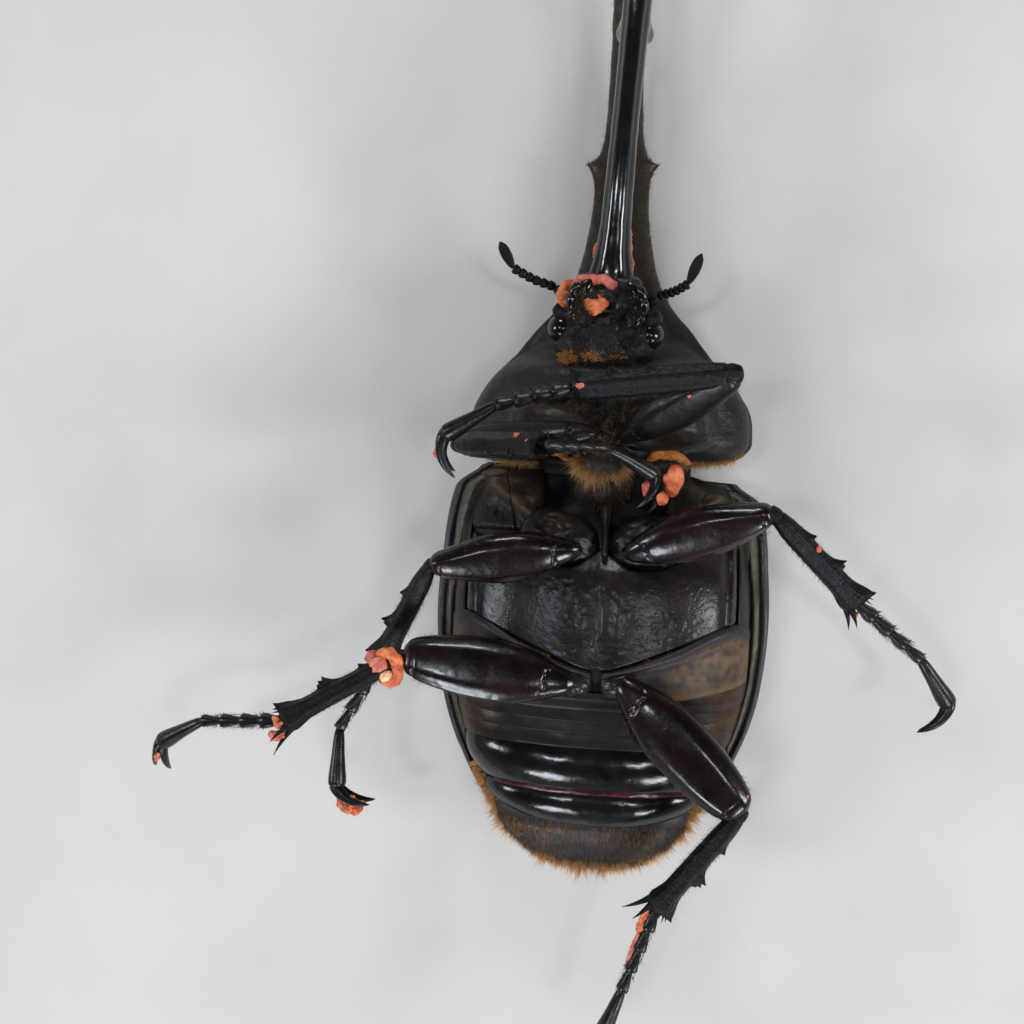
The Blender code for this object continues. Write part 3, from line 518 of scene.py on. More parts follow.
finish = {
    "thorax": chitin("thorax_shell", (0.005, 0.005, 0.005), (0.017, 0.014, 0.011), (0.34, 0.54), pits=7.0,
                     pit_depth=1.6, scale=0.3, swirl=0.2, ripple=5.0, shine=0.22),
    "fore_thigh": chitin("fore_thigh_shell", (0.0035, 0.003, 0.0032), (0.007, 0.0045, 0.005), (0.26, 0.42),
                         pits=8.0, coat=0.04, scale=0.2, swirl=0.05, ripple=1.2, shine=0.18),
    "black": chitin("black_shell", (0.006, 0.006, 0.007), (0.012, 0.010, 0.009), (0.27, 0.42), pits=5.0,
                    pit_depth=0.8, coat=0.08),
    "head": chitin("head_shell", (0.004, 0.004, 0.004), (0.011, 0.008, 0.006), (0.34, 0.52), pits=6.0,
                   pit_depth=1.4, scale=0.5, ripple=1.4, shine=0.16),
    "coxa": chitin("hip_shell", (0.004, 0.0035, 0.003), (0.012, 0.008, 0.0055), (0.28, 0.44), pits=8.0,
                   scale=0.4, ripple=1.2, shine=0.22),
    "breast": chitin("breast_shell", (0.007, 0.006, 0.005), (0.020, 0.0135, 0.008), (0.34, 0.5), pits=9.0,
                     scale=0.4, ripple=1.6, shine=0.2),
    "horn": chitin("horn_shell", (0.004, 0.004, 0.005), (0.009, 0.007, 0.006), (0.12, 0.22), coat=0.3,
                   pit_depth=0.2),
    "horn_dull": chitin("thoracic_horn_shell", (0.005, 0.005, 0.005), (0.016, 0.013, 0.010), (0.3, 0.48),
                        pit_depth=0.8, ripple=1.6, shine=0.24, stain=("far", (0.024, 0.018, 0.012))),
    "leg": chitin("leg_shell", (0.003, 0.003, 0.004), (0.0065, 0.0045, 0.0045), (0.32, 0.5), pits=5.0,
                  pit_depth=1.6, ripple=4.5, shine=0.13),
    "foot": chitin("foot_shell", (0.0035, 0.0035, 0.004), (0.007, 0.006, 0.007), (0.22, 0.36), pits=9.0,
                   ripple=1.0, shine=0.26),
    "thigh": chitin("thigh_shell", (0.0028, 0.002, 0.0022), (0.011, 0.0038, 0.0044), (0.15, 0.3), pits=9.0,
                    coat=0.12, scale=0.16, swirl=0.05, ripple=0.5),
    "belly": chitin("belly_shell", (0.006, 0.005, 0.0052), (0.017, 0.0115, 0.0125), (0.22, 0.36), pits=4.0,
                    pit_depth=1.2, scale=0.22, swirl=0.04, ripple=1.7, shine=0.22),
    "abdomen": chitin("abdomen_shell", (0.0035, 0.0035, 0.0035), (0.010, 0.0075, 0.0055), (0.3, 0.46),
                      scale=0.2, swirl=0.05, ripple=1.6, shine=0.18, stain=("side", (0.042, 0.021, 0.009))),
    "gloss": chitin("gloss_shell", (0.0035, 0.0035, 0.004), (0.007, 0.0055, 0.0055), (0.12, 0.24), coat=0.1,
                    pit_depth=0.1, swirl=0.3),
    "hip_plate": chitin("hip_plate_shell", (0.009, 0.0075, 0.0078), (0.022, 0.016, 0.0165), (0.4, 0.58),
                        pits=7.0, pit_depth=0.8, scale=0.5, swirl=0.02, ripple=2.0,
                        stain=("tan", (0.105, 0.060, 0.026))),
    "flank": chitin("flank_shell", (0.007, 0.0065, 0.005), (0.014, 0.011, 0.008), (0.36, 0.54), pits=7.0,
                    scale=0.4, swirl=0.03, ripple=1.6, shine=0.2, stain=("tan", (0.062, 0.040, 0.018))),
    "olive": chitin("olive_shell", (0.008, 0.0075, 0.006), (0.016, 0.0135, 0.010), (0.34, 0.52), pits=7.0,
                    scale=0.3, ripple=1.6, shine=0.2),
    "mouth": chitin("mouth_shell", (0.007, 0.007, 0.007), (0.020, 0.018, 0.016), (0.22, 0.4), pits=8.0,
                    pit_depth=1.2, scale=0.5),
    "tail": chitin("tail_shell", (0.008, 0.007, 0.007), (0.026, 0.016, 0.014), (0.36, 0.54), pits=7.0,
                   scale=0.25, ripple=1.6),
    "membrane": chitin("red_membrane", (0.012, 0.002, 0.003), (0.055, 0.005, 0.007), (0.2, 0.35),
                       scale=0.5, swirl=0.04),
    "amber": chitin("amber_membrane", (0.20, 0.055, 0.008), (0.42, 0.14, 0.018), (0.3, 0.45), scale=0.3,
                    swirl=0.03),
    # Near-black, rough lining for the trunk core: painted shade in the gaps between plates and in the
    # hollows.
    "hollow": chitin("painted_shade_lining", (0.003, 0.003, 0.003), (0.006, 0.006, 0.005), (0.5, 0.7)),
    "eye": chitin("eye_shell", (0.003, 0.003, 0.004), (0.007, 0.006, 0.006), (0.08, 0.18), pits=30.0,
                  pit_depth=0.25, coat=0.12, swirl=0.02),
    "gold": hair_finish("golden_hair", (0.11, 0.042, 0.010), (0.64, 0.34, 0.10)),
    "amber_hair": hair_finish("amber_hair", (0.14, 0.045, 0.009), (0.80, 0.38, 0.10)),
    "brown_hair": hair_finish("brown_hair", (0.016, 0.009, 0.005), (0.11, 0.058, 0.024)),
    "dark_hair": hair_finish("dark_hair", (0.005, 0.004, 0.004), (0.016, 0.011, 0.008)),
    "orange_crust": crust_finish("orange_crust", (0.46, 0.070, 0.026), (0.70, 0.20, 0.055)),
    "pale_crust": crust_finish("pale_crust", (0.62, 0.28, 0.12), (0.80, 0.58, 0.36)),
    "pink_crust": crust_finish("pink_crust", (0.44, 0.070, 0.050), (0.60, 0.18, 0.12)),
}


# Hair: separate curved bristles over a skin, with one patch each on an unwrap of that skin

PATCH = 0.0015                  # half the width of a bristle's patch on the unwrap


def tufts(name, roots, ways, lengths, width, places, look, seed, bend=(0.0, 0.0, 0.0)):
    """Bristles from roots along ways; places are their roots' spots on the skin's unwrap."""
    rng = np.random.RandomState(seed)
    count = len(roots)
    ways = unit(ways)
    side = unit(np.cross(ways, unit(rng.normal(size=(count, 3)))))
    other = np.cross(ways, side)
    lengths = np.asarray(lengths, float)[:, None]
    bow = np.array(bend, float) + 0.25 * rng.normal(size=(count, 3))
    thick = width * rng.uniform(0.7, 1.2, (count, 1))
    points, spots, along = [], [], []
    for level in (0.0, 0.4, 0.75):
        centre = roots + ways * lengths * level + bow * lengths * level ** 2
        radius = thick * (1 - level) ** 0.7
        for a in ring(3):
            points.append(centre + (side * math.cos(a) + other * math.sin(a)) * radius)
            reach = PATCH * (1 - 0.9 * level)
            spots.append(places + reach * np.array((math.cos(a), math.sin(a))))
            along.append(np.full(count, level))
    points.append(roots + ways * lengths + bow * lengths)
    spots.append(places)
    along.append(np.ones(count))
    each = len(points)
    verts = np.stack(points, axis=1).reshape(-1, 3)
    spots = np.stack(spots, axis=1).reshape(-1, 2)
    along = np.stack(along, axis=1).ravel()
    shade = np.repeat(rng.uniform(0.0, 1.0, count), each)
    base = np.arange(count)[:, None] * each
    quads = [(r * 3 + k, r * 3 + (k + 1) % 3, r * 3 + 3 + (k + 1) % 3, r * 3 + 3 + k)
             for r in range(2) for k in range(3)]
    tris = [(2, 1, 0)] + [(6 + k, 6 + (k + 1) % 3, 9) for k in range(3)]
    faces = [np.concatenate([base + np.array(face) for face in quads]),
             np.concatenate([base + np.array(face) for face in tris])]
    obj = piece(name, [(verts, faces)], look, (), {"along": along, "shade": shade})
    corners = np.concatenate([face.ravel() for face in faces])
    layer = obj.data.uv_layers.new(name="OFBake")
    layer.data.foreach_set("uv", np.clip(spots[corners], 0.0, 1.0).astype(np.float32).ravel())


def on_map(first, second):
    """Spots on an unwrap, kept off its edges."""
    return np.stack([first, second], axis=-1) * 0.96 + 0.02


def on_grid(grid, rows, cols):
    """Points, outward directions and spots on the unwrap at fractional rows and columns."""
    normal = normals(grid)
    middle = grid.mean(axis=1, keepdims=True)
    normal = normal * np.sign(((grid - middle) * normal).sum())
    r, c = np.clip(rows.astype(int), 0, grid.shape[0] - 1), cols.astype(int) % grid.shape[1]
    return grid[r, c], normal[r, c], on_map(cols / grid.shape[1], rows / grid.shape[0])


def coat(name, grid, rows, cols, count, length, width, look, lean, seed, slot="belly"):
    """Bristles over part of a grid, leaning one way; rows and cols are shares of the grid."""
    rng = np.random.RandomState(seed)
    r = rng.uniform(*rows, count) * (grid.shape[0] - 1)
    c = rng.uniform(*cols, count) * grid.shape[1]
    roots, out, spots = on_grid(grid, r, c)
    ways = out * 0.5 + np.array(lean) + 0.25 * rng.normal(size=roots.shape)
    tufts(name, roots - out * 0.1, ways, rng.uniform(*length, count), width, spots, look, seed)


# Wing cases

def hull(y):
    return columns(HULL, y)


def elytra_inner(y):
    """Half width and lowest level of the room under the wing cases."""
    width, back = hull(y)
    ahead, behind = hull(y + 0.2), hull(y - 0.2)
    slopes = [(a - b) / 0.4 for a, b in zip(ahead, behind)]
    lip = smooth(LIP, y)[..., 0]
    return width - lip * np.hypot(1, slopes[0]), np.maximum(back, 0.0) + SHELL * np.hypot(1, slopes[1])


def gape(x, y):
    """How far the left shoulder lies behind the right one, where the prothorax is swung away."""
    return 1.5 * ramp(x, 9.5, 12.6) * ramp(y, 5.5, ELYTRA_FRONT)


VAULT = 34                      # points over a wing case's outer face
RIM_FROM, STRIP_FROM, INSIDE_FROM = VAULT - 7, VAULT + 8, VAULT + 18


def elytron_grid(side):
    """Wing case: vaulted outer face, rounded bead, flat strip inside it, inner face."""
    steps = spans((ELYTRA_FRONT, -30.0, 110, 0.2), (-30.4, ELYTRA_BACK, 26))
    width, back = hull(steps)
    inner_width, inner_back = elytra_inner(steps)
    shoulder = 1 - (0.15 if side < 0 else 0.10) * ramp(steps, 8.4, 12.4)
    width, inner_width = width * shoulder, inner_width * shoulder
    lip = width - inner_width
    close = ramp(steps, ELYTRA_BACK, ELYTRA_BACK + 0.8) * ramp(steps, ELYTRA_FRONT, ELYTRA_FRONT - 0.7)
    u, v = power_curve(np.linspace(-np.pi / 2, 0.0, VAULT), HULL_POWER)
    outer_x = np.maximum(width[:, None] * u, 0.15)
    outer_z = np.maximum(RIM_Z + (RIM_Z - back)[:, None] * v, 0.0)
    inner_x = np.maximum(inner_width[:, None] * u, 0.15)
    inner_z = RIM_Z + (RIM_Z - inner_back)[:, None] * v
    inner_x = outer_x + (inner_x - outer_x) * (0.35 + 0.65 * close[:, None])
    inner_z = outer_z + (inner_z - outer_z) * (0.35 + 0.65 * close[:, None])
    bead = np.minimum(lip / 1.7, 1.0)[:, None]
    rim = np.array(((0.07, 0.22), (0.12, 0.5), (0.05, 0.8), (-0.14, 1.02), (-0.42, 1.14), (-0.72, 1.1),
                    (-0.95, 0.94), (-1.08, 0.74), (-1.16, 0.62), (-1.28, 0.6), (-1.4, 0.68)))
    rim_x = width[:, None] + rim[:, 0] * bead
    rim_z = RIM_Z + rim[:, 1] * (0.55 + 0.45 * bead)
    strip = np.linspace(0.1, 1.0, 7)
    last = lip[:, None] * 0.98 - 1.4 * bead + STRIP_FOLD
    strip_x = rim_x[:, -1:] - last * strip
    strip_z = rim_z[:, -1:] + 0.14 * np.sin(np.pi * strip) * bead - 0.8 * ramp(strip, 0.45, 1.0)
    x = np.concatenate([outer_x, rim_x, strip_x, inner_x[:, ::-1]], axis=1)
    z = np.concatenate([outer_z, rim_z, strip_z, inner_z[:, ::-1]], axis=1)
    grid = slices(side * x, steps, z)
    grid[..., 0] += side * 0.03 * noise(grid, 2.2, 2) * (z > 0.3)
    if side > 0:
        grid[..., 1] -= gape(grid[..., 0], grid[..., 1])
    fields = {}
    starts = (("rim", RIM_FROM), ("strip", STRIP_FROM), ("inside", INSIDE_FROM), ("end", x.shape[1]))
    for (field, start), (_, stop) in zip(starts, starts[1:]):
        marks = np.zeros(x.shape)
        marks[:, start:stop] = 1.0
        fields[field] = [*marks.ravel(), 0.0, 0.0]
    return grid, fields


def elytron_finish():
    """Olive horn colour with scattered black spots, black rim and a khaki strip inside it."""
    material, tree, shader, place = surface("wing_case_shell", {"Coat Weight": 0.1, "Coat Roughness": 0.12})
    patch = levels(tree, speckle(tree, place, 0.3, 4.0), 0.35, 0.65)
    colour = blend_colours(tree, patch, (0.085, 0.078, 0.030), (0.17, 0.155, 0.06))
    cells = add(tree, "ShaderNodeTexVoronoi", {"Vector": place, "Scale": 0.16}).outputs["Distance"]
    wobble = speckle(tree, place, 0.9, 3.0)
    reach = maths(tree, "ADD", cells, maths(tree, "MULTIPLY", wobble, 0.35))
    colour = blend_colours(tree, levels(tree, reach, 0.36, 0.31), colour, (0.008, 0.007, 0.006))
    khaki = blend_colours(tree, patch, (0.030, 0.024, 0.014), (0.085, 0.066, 0.036))
    for field, over in (("rim", (0.010, 0.010, 0.011)), ("strip", khaki), ("inside", (0.010, 0.008, 0.006))):
        colour = blend_colours(tree, attribute(tree, field), colour, over)
    fine = speckle(tree, place, 8.0, 3.0)
    pits = add(tree, "ShaderNodeTexVoronoi", {"Vector": place, "Scale": 2.4}).outputs["Distance"]
    height = maths(tree, "ADD", levels(tree, pits, 0.05, 0.3), fine)
    dress(tree, shader, colour, levels(tree, fine, 0.3, 0.7, 0.22, 0.42), height, 0.55, 0.00014)
    return material


finish["wing_case"] = elytron_finish()
for name, side in SIDES:
    grid, fields = elytron_grid(side)
    piece(f"wing_case_{name}", [grid_shell(grid)], "wing_case", [f"elytron_{name}"], fields)


def scutellum_shell():
    """Small heart-shaped plate between the roots of the wing cases."""
    y = spread(11.7, 5.8, 40, 0.6)
    half = smooth(((5.8, 0.25), (6.6, 0.8), (9.0, 1.9), (11.7, 2.7)), y)[:, 0]
    level = np.maximum(hull(y)[1], 0.0) + 0.6
    u, v = power_curve(ring(32), 2.6)
    z = np.maximum(level[:, None] + v * np.where(v > 0, 0.9, 0.55), 0.0)
    return grid_shell(slices(half[:, None] * u, y, z))


piece("scutellum_plate", [scutellum_shell()], "black", ["scutellum"])


# Trunk under the wing cases

def core_size(y):
    """Half width, level of the back and of the belly of the solid trunk."""
    inner_width, inner_back = elytra_inner(y)
    neck = np.minimum(1.0, 0.62 + 0.19 * np.maximum(ELYTRA_FRONT - y, 0.0))
    width = (inner_width - CORE_ROOM) * neck
    back = RIM_Z - (RIM_Z - inner_back - CORE_ROOM) * neck
    return width, back, smooth(BELLY, y)[..., 0]


def belly_level(x, y):
    """Height of the trunk's underside over a place."""
    width, _, belly = core_size(y)
    share = np.clip(np.abs(x) / width, 0.0, 0.999)
    return RIM_Z + (belly - RIM_Z) * (1 - share ** BELLY_POWER) ** (1 / BELLY_POWER)


def belly_point(angle, y, lift):
    """Point of the underside by the angle round the trunk, 0 on the midline."""
    width, _, belly = core_size(y)
    u, v = power_curve(np.pi / 2 - angle, BELLY_POWER)
    grow = 1 + lift / np.maximum(belly - RIM_Z, 6.0)
    return np.stack([width * u * (1 + lift / width), y, RIM_Z + (belly - RIM_Z) * v * grow], axis=-1)


def trunk_base():
    """Body that shows between the plates, with the hollows behind the prothorax; its near-black finish is
    painted shade for those gaps and hollows.
    """
    y = spans((11.5, 0.0, 44), (-0.5, -33.6, 60))
    width, back, belly = core_size(y)
    u, v = power_curve(ring(120), BELLY_POWER)
    sink = np.where(v > 0, 1.1, 0.05)
    z = np.where(v > 0, RIM_Z + (belly - RIM_Z)[:, None] * v, RIM_Z + (RIM_Z - back)[:, None] * v)
    x = (width - 0.25)[:, None] * u
    pit = sum(3.2 * peak(x, s * 6.6, 3.0) * peak(y[:, None], 8.6, 2.6) for s in (-1, 1))
    z = z - sink * np.abs(v) - np.where(v > 0, pit * v, 0.0)
    return grid_shell(slices(x, y, z))


# The trunk core wears the near-black lining, painted shade for the gaps between the plates and the hollows.
piece("trunk_shade_core", [trunk_base()], "hollow", ["thorax", "abdomen"])


def edge_drop(distance, radius, depth):
    """How far a plate's surface turns down at a distance from its edge."""
    t = np.clip(1 - distance / radius, 0.0, 1.0)
    return depth * (1 - np.sqrt(np.maximum(1 - t * t, 0.0)))


def plate(front, rear, x_from, x_to, relief, lift, crown, rows, cols):
    """Plate over the underside between two borders given as Y at X, with rolled edges."""
    x = spread(x_from, x_to, rows, 0.8)
    t = spread(0.0, 1.0, cols, 0.8)
    y_front, y_rear = smooth(front, x)[:, 0], smooth(rear, x)[:, 0]
    y = y_front[:, None] + (y_rear - y_front)[:, None] * t
    xx = np.repeat(x[:, None], cols, axis=1)
    length = np.abs(y_rear - y_front)[:, None]
    side_gap = np.minimum(xx - min(x_from, x_to), max(x_from, x_to) - xx)
    z = belly_level(xx, y) + lift + crown * (4 * t * (1 - t))
    z = z - edge_drop(np.minimum(t, 1 - t) * length, 0.34, 0.5) - edge_drop(side_gap, 0.34, 0.5)
    top = np.stack([xx, y, z + relief(xx, y, t)], axis=-1)
    low = top[:, ::-4].copy()
    low[..., 2] = belly_level(low[..., 0], low[..., 1]) - 1.3
    return grid_shell(np.concatenate([top, low], axis=1))


def mirrored(rows):
    """Border rows for both sides from those of the left."""
    return tuple(sorted({(-x, y) for x, y in rows} | set(rows)))


METASTERNUM_FRONT = mirrored(((0.0, 1.4), (1.2, 0.6), (3.7, -0.9), (7.0, -0.7), (10.0, 0.4), (16.4, 2.6)))
METASTERNUM_REAR = mirrored(((0.0, -12.7), (0.8, -13.0), (3.6, -12.2), (9.0, -10.0), (16.4, -6.9)))
STRIP_BORDERS = (((16.7, 4.6), (18.7, 5.2)), ((16.7, -7.6), (18.7, -8.4)))
HIP_PLATE_BORDERS = (((0.6, -13.15), (3.6, -12.4), (9.0, -10.18), (16.8, -7.0), (18.6, -7.8)),
                     ((0.6, -15.6), (5.5, -16.2), (9.0, -16.4), (14.0, -15.6), (18.6, -14.5)))


def metasternum_relief(x, y, _):
    """Midline groove, swells beside it, side ridges and fine wrinkles."""
    points = flat_points(x, y)
    groove = -0.16 * peak(x, 0.15 * np.sin(y * 0.7), 0.2) * ramp(y, -11.5, -9.5) * ramp(y, 0.6, -2.0)
    swell = 0.5 * peak(np.abs(x), 2.2, 1.5) * peak(y, -7.0, 4.0)
    dip = -0.14 * peak(x, 0.0, 1.6) * peak(y, -5.0, 4.5)
    ridge = 0.42 * peak(np.abs(x), 15.9, 0.35)
    trough = -0.22 * peak(np.abs(x), 15.1, 0.6)
    near = (peak(np.abs(x), 2.6, 2.4) * peak(y, -6.5, 4.5) + 0.8 * peak(x, 8.5, 3.5) * peak(y, -7.6, 1.3)
            + 0.8 * peak(x, -4.0, 3.5) * peak(y, -2.6, 1.2))
    uneven = (0.012 + 0.05 * near) * noise(points, 0.55, 2) + 0.05 * near * noise(points, 1.3)
    return groove + swell + dip + ridge + trough + uneven + 0.03 * noise(points, 3.5)


piece("metasternum", [plate(METASTERNUM_FRONT, METASTERNUM_REAR, -16.5, 16.5, metasternum_relief,
                            0.25, 0.0, 190, 90)], "belly")


def strip_relief(x, y, _):
    """Random wrinkles."""
    return 0.08 * noise(flat_points(x, y), 1.4, 3)


def coxal_relief(x, y, t):
    """Raised smooth front rim, a groove behind it, then a grainy field."""
    points = flat_points(x, y)
    rim = 0.35 * peak(t, 0.12, 0.09) - 0.15 * peak(t, 0.27, 0.07)
    return rim + (0.03 * noise(points, 0.9, 3) + 0.04 * noise(points, 3.0)) * ramp(t, 0.2, 0.4)


for name, side in SIDES:
    strip = [[(side * x, y) for x, y in rows] for rows in STRIP_BORDERS]
    shell = plate(*strip, side * 16.7, side * 18.5, strip_relief, 0.1, 0.1, 24, 110)
    piece(f"side_strip_{name}", [shell], "olive")
    front, rear = ([(side * x, y) for x, y in rows] for rows in HIP_PLATE_BORDERS)
    shell = plate(front, rear, side * 0.6, side * 18.65, coxal_relief, 0.15, 0.15, 110, 70)
    x, y = np.abs(shell[0][:, 0]), shell[0][:, 1]
    ahead = smooth(mirrored(front), x)[:, 0] - y
    behind = y - smooth(mirrored(rear), x)[:, 0]
    grain = noise(shell[0], 0.8, 4)
    field = ramp(ahead, 1.1, 2.2) * ramp(x, 6.5, 10.5) * (0.62 + 0.55 * grain)
    field = field + 0.5 * peak(behind, 0.45, 0.3) * ramp(x, 7.0, 10.0)
    field = field * (1.0 if side > 0 else 0.4)
    piece(f"hind_hip_plate_{name}", [shell], "hip_plate", [f"coxa_hind_{name}"],
          {"tan": np.clip(field, 0.0, 1.0)})
    knob = blob((side * 2.9, -14.5, 24.4), (2.6, 1.7, 1.7), 30, 40, turn_axes(side * 20), rough=0.05)
    piece(f"hind_hip_knob_{name}", [knob], "belly")


def sternite(front, rear, reach, lift, tuck, relief, crown=0.15, seed=0.0):
    """Belly plate round the trunk; front and rear hold Y on the midline and at the sides."""
    angle = spread(-reach, reach, 110, 0.3)
    share = np.abs(angle) / (np.pi / 2)
    y_front = front[0] + (front[1] - front[0]) * share ** 2
    y_rear = rear[0] + (rear[1] - rear[0]) * share ** 2
    t = spread(0.0, 1.0, 40, 0.7)
    y = y_front[:, None] + (y_rear - y_front)[:, None] * t
    turn = np.repeat(angle[:, None], len(t), axis=1)
    length = np.abs(y_rear - y_front)[:, None]
    height = lift - tuck * (1 - t) + crown * 4 * t * (1 - t) - edge_drop((1 - t) * length, 0.35, 0.55)
    top = belly_point(turn, y, height)
    top[..., 2] += relief * noise(top + seed, 1.6, 3)
    low = belly_point(turn[:, ::-4], y[:, ::-4], -1.2)
    return grid_shell(np.concatenate([top, low], axis=1))


STERNITES = (((-15.8, -13.0), (-18.4, -16.9), 0.12, 0.16, 0.05, "abdomen"),
             ((-18.1, -16.6), (-19.8, -18.7), 0.16, 0.18, 0.05, "abdomen"),
             ((-19.5, -18.4), (-21.2, -20.6), 0.20, 0.18, 0.05, "abdomen"),
             ((-20.9, -20.3), (-23.0, -22.8), 0.24, 0.18, 0.06, "abdomen"),
             ((-22.7, -22.5), (-28.2, -28.1), 0.25, 0.25, 0.75, "gloss"),
             ((-28.5, -28.3), (-33.0, -30.6), 0.20, 0.25, 0.75, "gloss"))
for k, (front, rear, lift, tuck, crown, look) in enumerate(STERNITES):
    relief = 0.03 if look == "gloss" else 0.05
    shell = sternite(front, rear, 1.5, lift, tuck, relief, crown, 3.1 * k)
    side = ramp(np.abs(shell[0][:, 0]), 10.5, 16.0) * (0.7 + 0.5 * noise(shell[0], 1.6, 3))
    piece(f"belly_plate_{k + 1}", [shell], look, (), {"side": np.clip(side, 0.0, 1.0)})
piece("belly_membrane", [sternite((-27.7, -28.0), (-29.0, -28.5), 1.0, 0.12, 0.1, 0.08)],
      "membrane")


# Tail plate: Y, half width above and below the wing cases' rim, lowest and highest Z
PYGIDIUM = ((-30.6, 13.0, 9.9, 9.4, 19.2), (-32.4, 12.5, 9.9, 9.4, 19.6), (-33.7, 12.0, 9.7, 9.4, 19.6),
            (-35.2, 10.9, 8.9, 10.2, 19.0), (-36.6, 9.6, 8.6, 10.6, 18.2), (-37.6, 8.4, 8.0, 11.2, 17.5),
            (-38.6, 6.6, 6.5, 12.4, 16.5), (-39.3, 4.4, 4.4, 13.6, 15.5), (-39.7, 2.0, 2.0, 14.6, 15.0))


def pygidium_grid():
    y = spans((-30.6, -38.0, 50), (-38.1, -39.68, 26))
    width, narrow, back, belly = columns(PYGIDIUM, y)
    u, v = power_curve(ring(160), 2.3)
    middle = np.minimum(15.6, (belly + back) / 2 + 0.6)
    z = middle[:, None] + np.where(v > 0, (belly - middle)[:, None], (middle - back)[:, None]) * v
    above = ramp(z, 13.6, 15.6)
    reach = narrow[:, None] + (width - narrow)[:, None] * above
    grid = slices(reach * u, y, z)
    return swollen(grid, 0.06 * noise(grid, 1.2, 3))


tail_grid = pygidium_grid()
piece("tail_plate", [grid_shell(tail_grid)], "tail", ["pygidium"])


# Front of the trunk: dome between the legs, and the plates beside it

def domed_plate(name, centre, axes, lowest, rough, grain):
    """Rounded plate set into the trunk."""
    shell = blob(centre, axes, 40, 56, None, 2.4, rough, grain)
    shell[0][:, 2] = np.maximum(shell[0][:, 2], lowest)
    piece(name, [shell], "breast")


domed_plate("breast_dome", (-0.3, 9.0, 18.6), (4.1, 3.4, 3.7), 14.0, 0.02, 3.0)
BREAST_TONGUE = ((0.25, 6.4, 22.0), (0.3, 5.2, 22.9), (0.35, 3.6, 23.7), (0.35, 2.0, 24.5), (0.3, 0.6, 25.2))
path = curve(BREAST_TONGUE, 40)
across, up = frames(path, UP)
sizes = smooth(((0, 0.8), (0.25, 0.6), (0.5, 0.42), (0.8, 0.4), (1.0, 0.34)), np.linspace(0, 1, 40))[:, 0]
tongue = grid_shell(tube(path, across, up, sizes, np.full(40, 0.7), 2.6, 24))
piece("breast_process", [tongue], "coxa")


FLANK_BOX = (7.6, 18.9, 2.6, 11.5)     # inner and outer X, rear and front Y


def flank_shell(side):
    """Plates between the hollow and the wing case: shoulder swell, slanting ridge, sunk field."""
    inner, outer, rear, front = FLANK_BOX
    xx, yy = np.meshgrid(spread(inner, outer, 130), spread(rear, front, 110), indexing="ij")
    xx = inner + (xx - inner) * (1 - 0.24 * ramp(yy, 7.6, 12.0))
    near, far = np.array((13.8, 8.7)), np.array((8.4, 4.9))
    line = far - near
    t = np.clip(((xx - near[0]) * line[0] + (yy - near[1]) * line[1]) / line.dot(line), 0.0, 1.0)
    away = np.hypot(xx - near[0] - t * line[0], yy - near[1] - t * line[1])
    points = np.stack([xx, yy, 0 * xx + side * 5], axis=-1)
    swell = 1.7 * hill(xx, yy, (13.3, 10.4), (2.7, 1.5))
    ridge = 1.25 * peak(away, 0.0, 0.75)
    field = -0.5 * hill(xx, yy, (13.4, 5.8), (2.4, 1.3))
    seam = -0.35 * peak(xx - 11.6, 0.25 * (yy - 7.0), 0.14)
    rolled = np.minimum(np.minimum(yy - rear, front - yy), xx - inner)
    wrinkles = 0.10 * noise(points, 1.0, 3) + 0.15 * noise(points, 3.2)
    z = belly_level(xx, yy) - 0.15 + swell + ridge + field + seam + wrinkles
    z = np.maximum(z, 13.6) - edge_drop(rolled, 1.1, 2.6)
    top = np.stack([side * xx, yy, z], axis=-1)
    if side > 0:
        top[..., 1] -= gape(xx, yy)
    low = top[:, ::-5].copy()
    low[..., 2] -= 1.6
    tone = np.clip(0.75 * ridge + 0.42 * swell + 0.12 * noise(points, 1.2, 3), 0.0, 1.0)
    tone = np.concatenate([tone, tone[:, ::-5]], axis=1)
    return grid_shell(np.concatenate([top, low], axis=1)), tone


for name, side in SIDES:
    shell, tone = flank_shell(side)
    piece(f"flank_{name}", [shell], "flank", (), {"tan": [*tone.ravel(), 0.0, 0.0]})


NECK_REACH = 10.6               # X of the collar's left side, inside the gape


def neck_shell():
    """Dark collar in the joint between the prothorax and the wing cases."""
    y = spread(10.4, 13.4, 24)
    u, v = power_curve(ring(90), 2.3)
    narrow = 1 - 0.05 * peak(y, 11.9, 0.7)
    x = np.clip(13.2 * narrow[:, None] * u, -13.2, NECK_REACH)
    z = 12.0 + np.where(v > 0, 5.6, 7.4) * narrow[:, None] * v
    grid = slices(x, y, z)
    return grid_shell(swollen(grid, 0.1 * noise(grid, 1.0, 3)))


piece("neck_collar", [neck_shell()], "olive")
for name, side in SIDES:
    for pair, look, rough, grain in (("mid", "coxa", 0.05, 1.3), ("fore", "breast", 0.03, 1.8)):
        (x, y, z), axes, turn = COXA[pair]
        axes = [a + 0.1 for a in axes]
        shell = blob((side * x, y, z), axes, 48, 64, turn_axes(side * turn), 2.2, rough, grain)
        piece(f"hip_{pair}_{name}", [shell], look, [f"coxa_{pair}_{name}"])


# Prothorax

